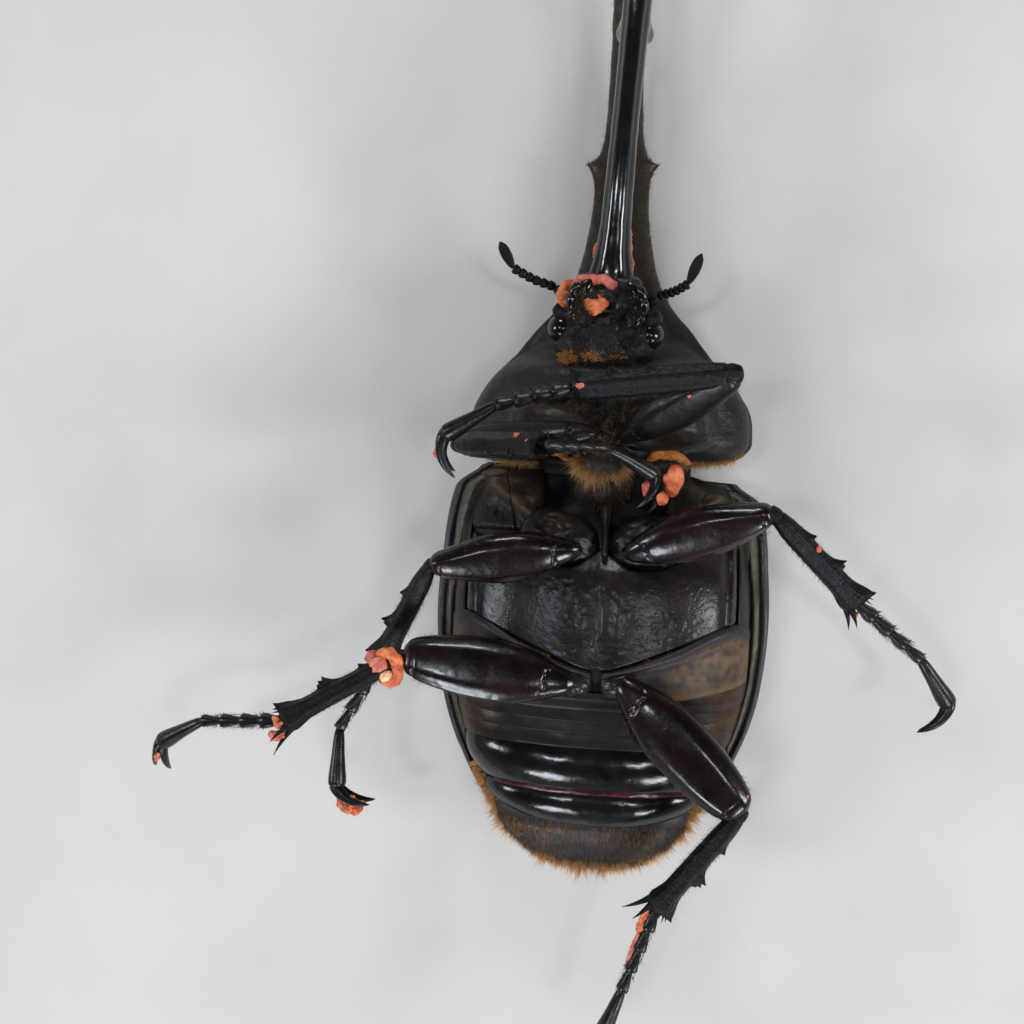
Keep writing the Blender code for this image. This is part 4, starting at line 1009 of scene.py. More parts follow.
def pronotum_grid():
    y = spans((11.9, 14.0, 22), (14.2, 34.5, 110))
    width, back, edge, belly = columns(PRONOTUM, y)
    u, v = power_curve(ring(220), 2.35)
    rise = np.where(v > 0, (belly - edge)[:, None], (edge - back)[:, None])
    z = edge[:, None] + rise * v
    grid = slices(width[:, None] * u, y, z)
    out = normals(grid)
    out = out * np.sign((out[..., 0] * u).sum())
    from_edge = z - edge[:, None]
    bead = 0.3 * peak(from_edge, 0.0, 0.45) - 0.3 * peak(np.abs(from_edge - 0.1), 1.1, 0.45)
    bead = bead * ramp(y, 33.5, 30.0)[:, None]
    side = np.abs(grid[..., 0]) / width[:, None]
    under = v > 0
    hollow = -0.9 * peak(side, 0.80, 0.12) * peak(y[:, None], 18.0, 3.6) * under
    cavity = -3.0 * peak(np.abs(grid[..., 0]), 6.0, 4.2) * peak(y[:, None], 16.4, 2.6) * under
    grain = 0.05 * noise(grid, 1.4, 3)
    grid = grid + out * (bead + grain + hollow)[..., None]
    grid[..., 1] += 0.8 * ramp(grid[..., 0], 6.0, 12.0) * ramp(grid[..., 1], 16.0, 11.9)
    grid[..., 2] += cavity
    grid[..., 2] = np.maximum(grid[..., 2], 0.0)
    return grid


piece("pronotum_shell", [grid_shell(pronotum_grid())], "thorax", ["pronotum"])
domed_plate("throat_bulge", (-0.4, 11.6, 19.4), (3.9, 2.9, 3.2), 15.0, 0.03, 1.5)
arc = curve(((4.6, 12.0, 19.6), (6.4, 13.2, 19.8), (8.4, 13.2, 19.4), (10.4, 12.2, 18.4)), 50)
arc_size = 0.66 * np.sin(np.pi * spread(0.06, 0.94, 50)) ** 0.6
for name, side in SIDES:
    line = arc * np.array((side, 1.0, 1.0))
    across, up = frames(line, UP)
    fold = tube(line, across, up, arc_size, arc_size * 0.7, 2.2, 40)
    fold = swollen(fold, 0.16 * noise(fold, 0.8, 3))
    piece(f"neck_membrane_{name}", [grid_shell(fold)], "amber")


def thoracic_horn_grid():
    y = spans((33.8, 44.0, 40), (44.2, 58.0, 90), (58.3, 108.0, 130), (108.2, 111.18, 20))
    width, low, high = columns(THORACIC_HORN, y)
    u, v = power_curve(ring(64), 2.3)
    middle = (low + high) / 2
    z = middle[:, None] + (high - low)[:, None] / 2 * v
    x = width[:, None] * u
    tooth_y, tooth_x, tooth_z = HORN_TOOTH
    ahead = y[:, None] - tooth_y
    profile = np.where(ahead > 0, np.exp(-np.abs(ahead) / 0.8), np.exp(-(np.abs(ahead) / 2.1) ** 0.9))
    grip = peak(z, tooth_z, 1.5) * np.clip(np.abs(u), 0, 1) ** 2
    x = x + np.sign(u) * (tooth_x + 0.1 - width)[:, None] * profile * grip
    grid = slices(x, y, np.maximum(z, 0.0))
    keel = 0.25 * peak(v, 1.0, 0.25) * ramp(y, 100.0, 60.0)[:, None]
    grid[..., 2] -= keel
    out = unit(np.stack([x, 0 * x, grid[..., 2] - middle[:, None]], axis=-1))
    grid = grid + out * (0.05 * noise(grid, 1.3, 3) + 0.05 * noise(grid, 5.0))[..., None]
    grid[..., 2] = np.maximum(grid[..., 2], 0.0)
    return grid


horn_grid = thoracic_horn_grid()
shell = grid_shell(horn_grid)
far = ramp(shell[0][:, 1] + 5.0 * noise(shell[0], 3.5, 3), 33.0, 44.0)
piece("thoracic_horn_shell", [shell], "horn_dull", ["thoracic_horn"], {"far": far})


# Head

def head_grid():
    y = spread(21.5, 36.3, 90)
    width, low, high = columns(HEAD, y)
    u, v = power_curve(ring(110), 2.4)
    middle = (low + high) / 2
    z = middle[:, None] + (high - low)[:, None] / 2 * v
    grid = slices(width[:, None] * u, y, z)
    sink = -1.3 * (v > 0.2) * ramp(y, 28.0, 31.0)[:, None] * peak(grid[..., 0], 0.0, 3.6)
    out = unit(np.stack([grid[..., 0], 0 * z, z - middle[:, None]], axis=-1))
    grid = grid + out * (0.08 * noise(grid, 0.6, 3) + 0.2 * noise(grid, 2.4))[..., None]
    grid[..., 2] += sink
    return grid


piece("head_shell", [head_shell(grid_shell(head_grid()))], "head", ["head"])
mentum = blob((0.0, 27.2, 20.0), (2.4, 3.2, 1.3), 60, 70, None, 3.0, 0.07, 0.6)
piece("mentum_plate", [head_shell(mentum)], "head")


def head_horn_grid():
    y = spans((34.7, 42.0, 50), (42.3, 80.0, 110), (80.2, 87.15, 26))
    middle, width, height = columns(HEAD_HORN, y)
    path = np.stack([0 * y, y, middle], axis=-1)
    across, up = frames(path, UP)
    u, v = power_curve(ring(56), 2.2)
    reach = 1 - 0.10 * peak(u, 0.75, 0.16) * (v > 0) - 0.10 * peak(u, -0.75, 0.16) * (v > 0)
    reach = np.repeat(reach[None], len(y), axis=0)
    knob = sum(h * peak(y, at, size)[:, None] * peak(v, -1.0, 0.5) for at, size, h in
               ((66.0, 1.0, 1.1), (77.0, 0.8, 0.7)))
    grid = tube(path, across, up, width, height, 2.2, 56, reach + knob)
    return swollen(grid, 0.03 * noise(grid, 1.6, 2))


piece("head_horn_shell", [head_shell(grid_shell(head_horn_grid()))], "horn", ["head_horn"])

for name, side in SIDES:
    centre = (side * (EYE_AT[0] - 0.1), EYE_AT[1] - 0.1, EYE_AT[2])
    dome = blob(centre, (EYE_RADIUS - 0.35, EYE_RADIUS - 0.35, EYE_RADIUS - 0.2), 60, 80)
    piece(f"eye_dome_{name}", [head_shell(dome)], "eye", [f"eye_{name}"])
    ridge = blob((side * 5.1, 30.1, 17.9), (1.9, 1.3, 2.0), 50, 60, turn_axes(side * 30), 2.2, 0.035, 1.1)
    piece(f"eye_ridge_{name}", [head_shell(ridge)], "leg")
    # Mandible with two teeth
    points = [np.array((side * x, y, z)) for x, y, z in MANDIBLE]
    path = curve(points, 44)
    across, up = frames(path, UP)
    t = np.linspace(0, 1, 44)
    width = smooth(((0, 1.0), (0.35, 1.15), (0.7, 0.95), (0.9, 0.55), (1.0, 0.16)), t)[:, 0]
    notch = 1 - 0.3 * peak(t, 0.72, 0.05) - 0.2 * peak(t, 0.45, 0.04)
    jaw = grid_shell(tube(path, across, up, width * notch, width * 0.75, 2.2, 30))
    piece(f"mandible_shell_{name}", [head_shell(jaw)], "gloss", [f"mandible_{name}"])
    # Furred lobes beside it
    lobes = [head_shell(blob((side * x, y, z), axes, 26, 30, turn_axes(side * turn), 2.0, 0.08, 0.6))
             for (x, y, z), axes, turn in MAXILLA]
    piece(f"maxilla_{name}", lobes, "mouth")
    # Palp
    points = [np.array((side * x, y, z)) for x, y, z in PALP]
    shells = []
    for near, far in zip(points, points[1:]):
        path = curve([near, near * 0.5 + far * 0.5, far], 22)
        shells.append(head_shell(limb(path, UP, PALP_JOINT, count=18)))
    piece(f"palp_shell_{name}", shells, "horn", [f"palp_{name}"])
labrum = blob((-0.2, 33.2, 19.6), (2.3, 1.6, 0.9), 30, 40, None, 2.6, 0.08, 0.7)
clypeus = [blob((side * 1.9, 34.0, 18.7), (2.1, 1.3, 1.6), 34, 40, turn_axes(side * 14), 2.3, 0.06, 0.8)
           for side in (-1, 1)]
piece("labrum", [head_shell(shell) for shell in (labrum, *clypeus)], "mouth")


def antenna_shells(side_name):
    """Scape, six beads and the closed three-leaved club."""
    root, elbow, club, tip = (np.array(p) for p in ANTENNA[side_name])
    path = curve([root, root * 0.45 + elbow * 0.55 + (0, 0, 0.15), elbow], 26)
    shells = [limb(path, UP, ANTENNA_ROOT)]
    beads, rows = 6, 10
    line = curve([elbow, elbow * 0.5 + club * 0.5 + (0.0, -0.25, 0.0), club], beads * rows + 1)
    for k in range(0, beads * rows, rows):
        shells.append(limb(line[k:k + rows + 1], UP, ANTENNA_BEAD, count=18))
    line = curve([club, club * 0.5 + tip * 0.5, tip], 30)
    across, up = frames(line, UP)
    t = np.linspace(0, 1, 30)
    wide = smooth(ANTENNA_LEAF, t)[:, 0]
    round_end = np.sin(np.pi * (0.08 + 0.84 * t)) ** 0.5
    for shift, thick in ((-0.34, 0.24), (0.0, 0.28), (0.34, 0.24)):
        shells.append(grid_shell(tube(line + up * shift, across, up, wide, thick * round_end, 2.4, 20)))
    return shells


for name, side in SIDES:
    piece(f"antenna_shell_{name}", antenna_shells(name), "leg", [f"antenna_{name}"])


# Legs

def leg_points(pair, side_name):
    x, y, z = HIPS[pair]
    points = [np.array((x if side_name == "left" else -x, y, z))]
    for length, (azimuth, elevation) in zip(LENGTHS[pair], POSE[pair, side_name]):
        points.append(points[-1] + aim(azimuth, elevation) * length)
    return points


def outer_side(points, stretch):
    """Direction away from where the thigh, stretch 0, or what follows it folds to."""
    if stretch == 0:
        along, other = points[1] - points[0], points[2] - points[1]
    else:
        along, other = points[2] - points[1], points[0] - points[1]
    along = unit(along)
    return -unit(other - along * other.dot(along))


def stretch_frame(pair, points, stretch):
    """Along, outward and up vectors of a stretch of leg."""
    axis = unit(np.cross(points[1] - points[0], points[2] - points[1]))
    if axis[2] < 0:
        axis = -axis
    normal = unit(axis + UP * FACING[pair])
    along = unit(points[stretch + 1] - points[stretch])
    up = unit(normal - along * normal.dot(along))
    out = np.cross(along, up)
    if out.dot(outer_side(points, stretch)) < 0:
        out = -out
    return along, out, up


def femur_grid(pair, points):
    """Thigh with trochanter, a channel along its inner edge and a lobed knee."""
    width, thick = FEMUR[pair]
    t = spans((-0.06, 0.3, 76), (0.303, 0.86, 60), (0.863, 1.0, 44))
    outline = ((-0.06, 0.06, 0.1), (-0.045, 0.22, 0.3), (0.0, 0.38, 0.55), (0.08, 0.56, 0.75),
               (0.2, 0.8, 0.93), (0.34, 0.97, 1.0), (0.5, 1.0, 1.0), (0.64, 0.97, 0.98),
               (0.78, 0.87, 0.93), (0.9, 0.72, 0.84), (0.97, 0.56, 0.68), (1.0, 0.34, 0.42))
    wide, high = columns(outline, t)
    if pair == "mid":
        wide = wide * (1 - 0.26 * ramp(t, 0.55, 1.0))
    path = points[0] + (points[1] - points[0]) * t[:, None]
    _, out, up = stretch_frame(pair, points, 0)
    count = 88
    angle = ring(count)
    tt, aa = t[:, None], angle[None, :]
    inner, upper = (np.abs(np.angle(np.exp(1j * (aa - at)))) for at in (np.pi, np.pi / 2))
    channel = -0.07 * peak(inner, 0.0, 0.22) * ramp(tt, 0.3, 0.45)
    keel = 0.035 * peak(inner, 0.42, 0.12) * ramp(tt, 0.25, 0.4) * ramp(tt, 0.98, 0.9)
    cut = 0.085 + 0.07 * np.cos(aa - 2.2)
    suture = -0.06 * peak(tt, cut, 0.006) + 0.012 * ramp(tt, cut + 0.004, cut - 0.01)
    dent = -0.12 * hill(tt, upper, (0.13, 0.3), (0.012, 0.2))
    lobe = -0.08 * peak(tt, 0.925, 0.008) * peak(inner, 0.9, 0.7)
    crest = 0.03 * peak(upper, 0.5, 0.2) * ramp(tt, 0.3, 0.5)
    reach = 1 + channel + keel + suture + dent + lobe + crest
    shape = tube(path, out, up, width * wide, thick * high, 2.3, count, reach)
    return swollen(shape, 0.012 * noise(shape, 0.8, 2) + 0.03 * noise(shape, 3.0))


# Shares of the solids' width that the shanks and their foot ends have here
SLIM = {"fore": 1.0, "mid": 0.78, "hind": 0.74}
SLIM_CUP = {"fore": 1.0, "mid": 0.84, "hind": 0.82}
BEAD_GAP = 0.62                 # from bead to bead along a shank's ridges


def tibia_shells(pair, points):
    """Shank with keels, saw teeth along its outer edge, flared cup and spurs."""
    width, thick, foot, knee = TIBIA[pair]
    slim = SLIM[pair]
    foot = foot * SLIM_CUP[pair]
    ankle = foot / width
    outline = ((-0.045, knee * 0.3, 0.3), (-0.03, knee * 0.7, 0.6), (0.05, knee, 0.85), (0.2, slim, 1.0),
               (0.5, 1.05 * slim, 1.0), (0.8, (0.5 + 0.55 * ankle) * slim, 1.05), (0.94, ankle, 1.1),
               (0.985, ankle * 0.85, 0.95))
    t = spans((-0.045, 0.9, 150), (0.903, 0.985, 26))
    wide, high = columns(outline, t)
    along, out, up = stretch_frame(pair, points, 1)
    length = LENGTHS[pair][1]
    knee_point, way_down = points[1], points[2] - points[1]
    path = knee_point + way_down * t[:, None]
    count = 64
    angle = ring(count)
    u, v = power_curve(angle, 2.2)
    tt = t[:, None]
    ridge = 0.05 * np.cos(6 * angle)[None, :] * ramp(tt, 0.04, 0.2) * ramp(tt, 0.98, 0.9)
    knee_groove = -0.10 * peak(tt, 0.045, 0.012)
    row = np.minimum(np.abs(angle - 0.36 * np.pi), np.abs(angle - 0.66 * np.pi))
    beads = np.maximum(np.cos(2 * np.pi * tt * length / BEAD_GAP), 0.0) * peak(row, 0.0, 0.13)
    shape = tube(path, out, up, width * wide, thick * high * 1.05, 2.2, count, 1 + ridge + knee_groove)
    for place, height in TIBIA_TEETH[pair]:
        ahead = (tt - place - 0.45 * height / length) * length
        saw = np.where(ahead > 0, np.exp(-(ahead / 0.22)), np.exp(-(np.abs(ahead) / 0.6) ** 1.1))
        push = height * saw * (np.clip(u, 0, 1) ** 3 * peak(v, 0.0, 0.55))
        shape = shape + out * push[..., None] + along * (0.35 * push)[..., None]
    beads = 0.09 * beads * ramp(tt, 0.08, 0.14) * np.clip(0.5 + 1.6 * noise(shape, 1.1), 0.0, 1.2)
    shape = swollen(shape, beads + 0.02 * noise(shape, 0.6, 2))
    # Foot end, hollowed like a cup
    cup = shape[-1]
    heart = cup.mean(axis=0)
    rings = [heart + (cup - heart) * share - along * depth for share, depth in
             ((0.86, 0.0), (0.7, 0.25), (0.45, 0.6), (0.2, 0.8))]
    shells = [grid_shell(np.concatenate([shape, np.array(rings)]))]
    for k, reach in enumerate(SPURS[pair]):
        root = knee_point + way_down * 0.94 - out * (foot * (0.7 - 0.2 * k)) + up * (0.5 * k)
        lean = out * (-0.55 + 0.25 * k) + up * (0.1 + 0.5 * k)
        tip = root + unit(along + lean) * reach
        shells.append(spine(root, tip, 0.44, 16, 14, along * 0.12 + out * 0.12, 0.12))
    bristles = 16
    for k in range(bristles):
        a = 2 * np.pi * k / bristles
        root = (knee_point + way_down * 0.975 + out * (foot * 0.86 * math.cos(a))
                + up * (thick * 0.9 * math.sin(a)))
        way = unit(out * math.cos(a) * 0.5 + up * math.sin(a) * 0.5 + along)
        shells.append(spine(root, root + way * (0.75 + 0.35 * ((k * 7) % 5) / 5), 0.15, 6, 6))
    return shells


def tarsus_shells(pair, points):
    """Four bell-shaped joints, a long curved one, two claws and the bristled rod between."""
    ankle, fourth, fifth, middle, tip = points[2:7]
    along, _, up = stretch_frame(pair, points, 2)
    shells = []
    joints = 4
    t = np.linspace(0.0, 1.0, 26)
    for k in range(joints):
        size = 0.92 - 0.06 * k
        start = ankle + (fourth - ankle) * ((k - 0.07) / joints)
        end = ankle + (fourth - ankle) * ((k + 0.98) / joints)
        path = start + (end - start) * t[:, None] + up * (0.14 * np.sin(np.pi * t))[:, None]
        across, lift = frames(path, up)
        profile = smooth(FOOT_JOINT, t)[:, 0] * size
        ridge = 1 + 0.05 * np.cos(5 * ring(28))
        shells.append(grid_shell(tube(path, across, lift, profile * 1.02, profile * 0.95, 2.2, 28, ridge)))
        base = end - (end - start) * 0.16
        for side in (-1, 1):
            root = base + across[20] * (side * 0.45 * size) - lift[20] * (0.3 * size)
            way = unit(along + across[20] * (side * 0.95) - lift[20] * 0.25)
            shells.append(spine(root, root + way * (1.05 - 0.08 * k), 0.22, 9, 9, along * 0.1, 0.1))
            root = base + across[20] * (side * 0.7 * size) + lift[20] * (0.25 * size)
            way = unit(along * 1.3 + across[20] * (side * 0.5) + lift[20] * 0.35)
            shells.append(spine(root, root + way * 0.65, 0.12, 6, 6))
    bow = curve([fourth - along * 0.15, fourth * 0.6 + fifth * 0.4 + up * 0.12, fifth], 44)
    shells.append(limb(bow, up, CLAW_JOINT, 0.95, 2.1, 30))
    splay = np.cross(middle - fifth, tip - middle)
    splay = unit(splay) if np.linalg.norm(splay) > 1e-6 else UP
    t = np.linspace(-0.12, 1.0, 40)
    for side in (-1, 1):
        path = (fifth * ((1 - t) ** 2)[:, None] + middle * (2 * t * (1 - t))[:, None]
                + tip * (t * t)[:, None] + splay * (side * (0.25 + 0.75 * t))[:, None])
        across, lift = frames(path, splay)
        size = smooth(CLAW, t)[:, 0]
        shells.append(grid_shell(tube(path, across, lift, size * 1.35, size * 0.95, 2.0, 20)))
    rod = unit((middle - fifth) * 0.6 + (tip - fifth) * 0.4)
    shells.append(spine(fifth - rod * 0.2, fifth + rod * 1.3, 0.26, 8, 10, blunt=0.5))
    for side in (-1, 1):
        root = fifth + rod * 1.2
        shells.append(spine(root, root + unit(rod + splay * side * 0.5) * 1.3, 0.1, 7, 6))
    return shells


legs = {(pair, name): leg_points(pair, name) for pair in PAIRS for name, _ in SIDES}
for (pair, name), points in legs.items():
    piece(f"thigh_{pair}_{name}", [grid_shell(femur_grid(pair, points))],
          "fore_thigh" if pair == "fore" else "thigh", [f"femur_{pair}_{name}"])
    piece(f"shank_{pair}_{name}", tibia_shells(pair, points), "leg", [f"tibia_{pair}_{name}"])
    piece(f"foot_{pair}_{name}", tarsus_shells(pair, points), "foot", [f"tarsus_{pair}_{name}"])


# Coats

# Y and half width of the outline round the tail
OUTLINE = tuple((y, width) for y, width, _ in HULL) + ((-39.7, 1.0),)


def fringe(name, clumps, each, look, seed, length, inset, gather):
    """Bristles round the tail from between the wing cases' rim and the body, in pointed clumps."""
    rng = np.random.RandomState(seed)
    y = spread(-27.4, -39.7, 120)
    right = np.column_stack([smooth(OUTLINE, y)[:, 0], y])
    line = np.vstack([right, right[::-1] * (-1, 1)])
    steps = np.linalg.norm(np.diff(line, axis=0), axis=1)
    share = np.concatenate([[0.0], np.cumsum(steps)]) / steps.sum()
    at = np.repeat((np.arange(clumps) + rng.uniform(0.15, 0.85, clumps)) / clumps, each)
    count = clumps * each
    place = np.clip(at + rng.normal(size=count) * 0.36 / clumps, 0.002, 0.998)

    def on_line(where):
        return np.column_stack([np.interp(where, share, line[:, 0]), np.interp(where, share, line[:, 1])])

    ahead = unit(on_line(np.minimum(place + 0.01, 1.0)) - on_line(np.maximum(place - 0.01, 0.0)))
    outward = np.column_stack([-ahead[:, 1], ahead[:, 0]])
    outward = outward * np.sign(((on_line(place) - (0.0, -20.0)) * outward).sum(axis=1))[:, None]
    depth = inset + 0.9 * rng.uniform(0, 1, count)
    root = on_line(place) - outward * depth[:, None]
    roots = np.column_stack([root, 15.0 + 0.7 * depth + 0.3 * rng.uniform(-1, 1, count)])
    reach = np.repeat(rng.uniform(*length, clumps), each) * rng.uniform(0.8, 1.05, count)
    reach = reach * (0.3 + 0.7 * ramp(root[:, 1], -27.0, -34.0))
    drawn = gather * ramp(root[:, 1], -28.5, -33.0)
    tips = on_line(place * (1 - drawn) + at * drawn) + outward * (reach - depth)[:, None]
    tilt = np.repeat(rng.uniform(-0.15, 0.45, clumps), each)
    ways = np.column_stack([tips - root, 0.6 * reach * tilt]) + 0.05 * rng.normal(size=roots.shape)
    tufts(name, roots, ways, reach, 0.05, on_map(place, (depth - inset) / 1.2), look, seed,
          (0.0, -0.05, -0.12))


fringe("coat_tail_fringe_low", 58, 66, "amber_hair", 21, (1.7, 2.7), 0.9, 0.97)
fringe("coat_tail_fringe_high", 90, 24, "gold", 22, (1.3, 2.2), 1.4, 0.92)
coat("coat_tail_plate", tail_grid, (0.2, 0.97), (0.02, 0.48), 4800, (0.35, 0.8), 0.028, "brown_hair",
     (0.0, -0.9, 0.1), 23)
coat("coat_tail_front", tail_grid, (0.2, 0.42), (0.12, 0.42), 520, (0.4, 0.8), 0.028, "amber_hair",
     (0.0, -1.0, 0.35), 24)
coat("coat_horn_pad", horn_grid, (0.02, 0.78), (0.06, 0.44), 9000, (0.35, 0.8), 0.035, "brown_hair",
     (0.0, 0.5, 0.0), 25, "horn")


def patch(name, centre, reach, count, length, width, look, lean, seed, slot="belly", scatter=0.3):
    """Tuft of bristles that spring from a low round swelling."""
    rng = np.random.RandomState(seed)
    a = rng.uniform(0, 2 * np.pi, count)
    d = np.sqrt(rng.uniform(0, 1, count))
    off = np.stack([np.cos(a) * d * reach[0], np.sin(a) * d * reach[1], 0.5 * (1 - d * d)], axis=-1)
    out = unit(off * np.array((1.0, 1.0, 0.6)) + UP * 0.4)
    ways = out * 0.3 + np.array(lean) + scatter * rng.normal(size=off.shape)
    spots = np.stack([np.cos(a) * d, np.sin(a) * d], axis=-1) * 0.47 + 0.5
    tufts(name, np.array(centre) + off, ways, rng.uniform(*length, count), width, spots, look,
          seed, (0, 0, -0.1))


def arc_coat(name, points, count, length, width, look, lean, seed, jitter, centre=None):
    """Band of bristles along a curved line; with a centre they radiate from it."""
    rng = np.random.RandomState(seed)
    line = curve(points, 400)
    share = rng.uniform(0, 1, count)
    roots = line[(share * 399).astype(int)] + jitter * rng.normal(size=(count, 3)) * (1, 1, 0.4)
    ways = np.array(lean, float) + 0.22 * rng.normal(size=(count, 3))
    if centre is not None:
        ways = ways + unit((roots - np.array(centre, float)) * (1, 1, 0.2))
    spots = on_map(share, rng.uniform(0, 1, count))
    tufts(name, roots, ways, rng.uniform(*length, count), width, spots, look, seed, (0, 0, -0.15))


THROAT_EDGE = ((-3.1, 12.8, 21.3), (-2.7, 11.5, 21.9), (-1.7, 10.8, 22.2), (-0.6, 10.6, 22.3),
               (0.5, 10.8, 22.2), (1.5, 11.5, 21.9), (1.9, 12.8, 21.3))
arc_coat("coat_throat_fringe", THROAT_EDGE, 1000, (1.2, 2.2), 0.03, "gold", (0.0, -0.5, 0.1), 31, 0.24,
         (-0.6, 12.9, 21.5))
patch("coat_throat", (-0.6, 12.4, 21.9), (2.2, 1.0), 700, (0.4, 0.9), 0.028, "brown_hair",
      (0.0, -0.8, 0.2), 32)
patch("coat_breast", (-0.3, 8.4, 21.6), (3.4, 2.0), 600, (0.4, 0.9), 0.022, "brown_hair",
      (0.0, -1.0, 0.1), 33)
patch("coat_between_hips", (-0.3, 16.4, 21.2), (3.6, 3.0), 1500, (0.8, 1.5), 0.035, "dark_hair",
      (0.0, 0.3, 0.35), 34)
patch("coat_between_hips_gold", (0.6, 15.6, 21.2), (3.0, 2.6), 200, (0.9, 1.6), 0.03, "gold",
      (0.1, 0.4, 0.35), 35)
for name, side in SIDES:
    patch(f"coat_hip_{name}", (side * 3.6, 17.2, 21.4), (2.0, 1.3), 320, (0.7, 1.3), 0.03, "brown_hair",
          (-side * 0.6, 0.2, 0.3), 36 + side)
    ahead = 0.35 + 0.35 * side
    line = ((side * 9.0, 12.3 + 0.5 * ahead, 17.2), (side * 12.6, 12.3 + ahead, 15.6),
            (side * 15.4, 13.0 + ahead, 13.6), (side * 16.9, 14.0 + ahead, 12.4))
    arc_coat(f"coat_prothorax_edge_{name}", line, 1300, (0.7, 1.3), 0.03, "gold", (0.0, -1.0, 0.1),
             40 + side, 0.2)
    line = ((side * 5.6, -11.6, 25.2), (side * 8.4, -10.6, 24.7), (side * 11.2, -9.5, 23.8))
    arc_coat(f"coat_hind_line_{name}", line, 260, (0.5, 1.0), 0.026, "gold", (side * 0.35, -0.7, 0.25),
             44 + side, 0.12)

# Tufts on the head: place, reach, count, lengths, thickness, finish, lean, seed, how much they scatter
HEAD_TUFTS = (
    ("gula", (-5.4, 24.9, 19.6), (1.1, 0.7), 260, (0.6, 1.1), 0.03, "amber_hair",
     (0.0, -0.3, 0.5), 50, 0.3),
    ("gula_gold", (-2.3, 25.1, 20.3), (1.1, 0.6), 240, (0.6, 1.1), 0.03, "amber_hair",
     (0.1, -0.2, 0.5), 51, 0.3),
    ("gula_dark", (-0.5, 23.6, 20.0), (4.2, 1.3), 900, (0.6, 1.2), 0.035, "dark_hair",
     (0.0, -0.3, 0.5), 53, 0.3),
    ("head_dark", (-0.6, 26.9, 20.3), (4.4, 2.2), 1300, (0.5, 1.1), 0.035, "dark_hair",
     (0.0, 0.5, 0.4), 54, 0.45),
    ("cheek", (0.6, 25.4, 19.8), (1.2, 0.7), 160, (0.6, 1.2), 0.03, "amber_hair",
     (-0.2, -0.3, 0.5), 52, 0.3))
for name, *row, scatter in HEAD_TUFTS:
    patch(f"coat_{name}", *row, "black_shell", scatter)
MOUTH_TUFTS = ((-4.4, 31.8, 20.4), (1.6, 32.2, 20.6), (-4.2, 30.0, 20.8), (1.6, 30.0, 20.8))
for k, place in enumerate(MOUTH_TUFTS):
    patch(f"coat_mouth_{k + 1}", place, (1.5, 1.5), 200, (0.9, 1.8), 0.035,
          "dark_hair" if k % 2 else "brown_hair", (0.15 * (-1) ** k, 0.5, 0.4), 60 + k, "black_shell", 0.45)


def leg_bristles():
    """Short stiff hairs along the legs, thickest on the inner edges."""
    for n, ((pair, name), points) in enumerate(legs.items()):
        rng = np.random.RandomState(80 + n)
        roots, ways, spots = [], [], []
        sizes = ((*FEMUR[pair], 420), (TIBIA[pair][0] * 1.08 * SLIM[pair], TIBIA[pair][1], 620),
                 (0.75, 0.75, 320))
        for stretch, (wide, thick, count) in enumerate(sizes):
            start, end = points[stretch:stretch + 2]
            along, out, up = stretch_frame(pair, points, stretch)
            t = rng.uniform(0.12, 0.93, count)
            edge = np.where(rng.uniform(size=count) < 0.6, np.pi, 0.0)
            a = edge + 0.55 * rng.normal(size=count)
            u, v = power_curve(a, 2.3)
            slim = 1 - 0.35 * np.abs(2 * t - 1) ** 2
            around = out * (wide * u * slim)[:, None] + up * (thick * v * slim)[:, None]
            roots.append(start + (end - start) * t[:, None] + around * 0.93)
            ways.append(unit(around) * 0.55 + along * 0.8 + 0.2 * rng.normal(size=(count, 3)))
            spots.append(on_map((a / (2 * np.pi)) % 1.0, (t + stretch) / 3))
        roots, ways, spots = (np.concatenate(part) for part in (roots, ways, spots))
        tufts(f"coat_leg_{pair}_{name}", roots, ways, rng.uniform(0.35, 0.8, len(roots)), 0.028, spots,
              "brown_hair", 80 + n)


leg_bristles()


# Dried crusts

def crust(name, points, width, thick, look, seed, slot="leg", count=60):
    """Lumpy ridge along a line, tapered at both ends."""
    path = curve(points, count)
    t = np.linspace(0, 1, count)
    across, up = frames(path, UP)
    ends = np.sqrt(np.clip(1 - (2 * t - 1) ** 4, 0.02, 1.0))
    grid = tube(path, across, up, width * ends, thick * ends, 2.2, 36)
    shift = seed * 3.7
    push = 0.42 * width * noise(grid + shift, 0.9 * width + 0.25, 3) + 0.08 * noise(grid + shift, 0.25, 2)
    grid = swollen(grid, push)
    piece(name, [grid_shell(grid)], look)


# Crusts on the head: points, width, thickness, finish, seed, number of cross-sections
HEAD_CRUSTS = (
    ("brow", ((-5.6, 33.9, 19.5), (-3.9, 34.3, 20.1), (-1.9, 34.3, 20.5), (-0.4, 33.9, 20.5),
              (0.5, 33.1, 20.3)), 0.62, 0.5, "pink_crust", 1, 90),
    ("brow_end", ((-5.0, 34.2, 18.9), (-6.2, 33.4, 19.1), (-6.4, 32.4, 19.4), (-5.8, 31.2, 19.7)),
     0.75, 0.55, "orange_crust", 3, 60),
    ("lip", ((-2.9, 32.3, 20.6), (-2.3, 31.3, 20.9), (-1.7, 30.3, 21.0)), 1.1, 0.5, "orange_crust", 2, 60))
for name, *row, count in HEAD_CRUSTS:
    crust(f"crust_{name}", *row, "black_shell", count)


def leg_spot(pair, name, stretch, t, out_by, up_by):
    """Point on a leg: its stretch, the share along it, and how far out and up from its axis."""
    points = legs[pair, name]
    start, end = points[stretch:stretch + 2]
    _, out, up = stretch_frame(pair, points, stretch)
    return start + (end - start) * t + out * out_by + up * up_by


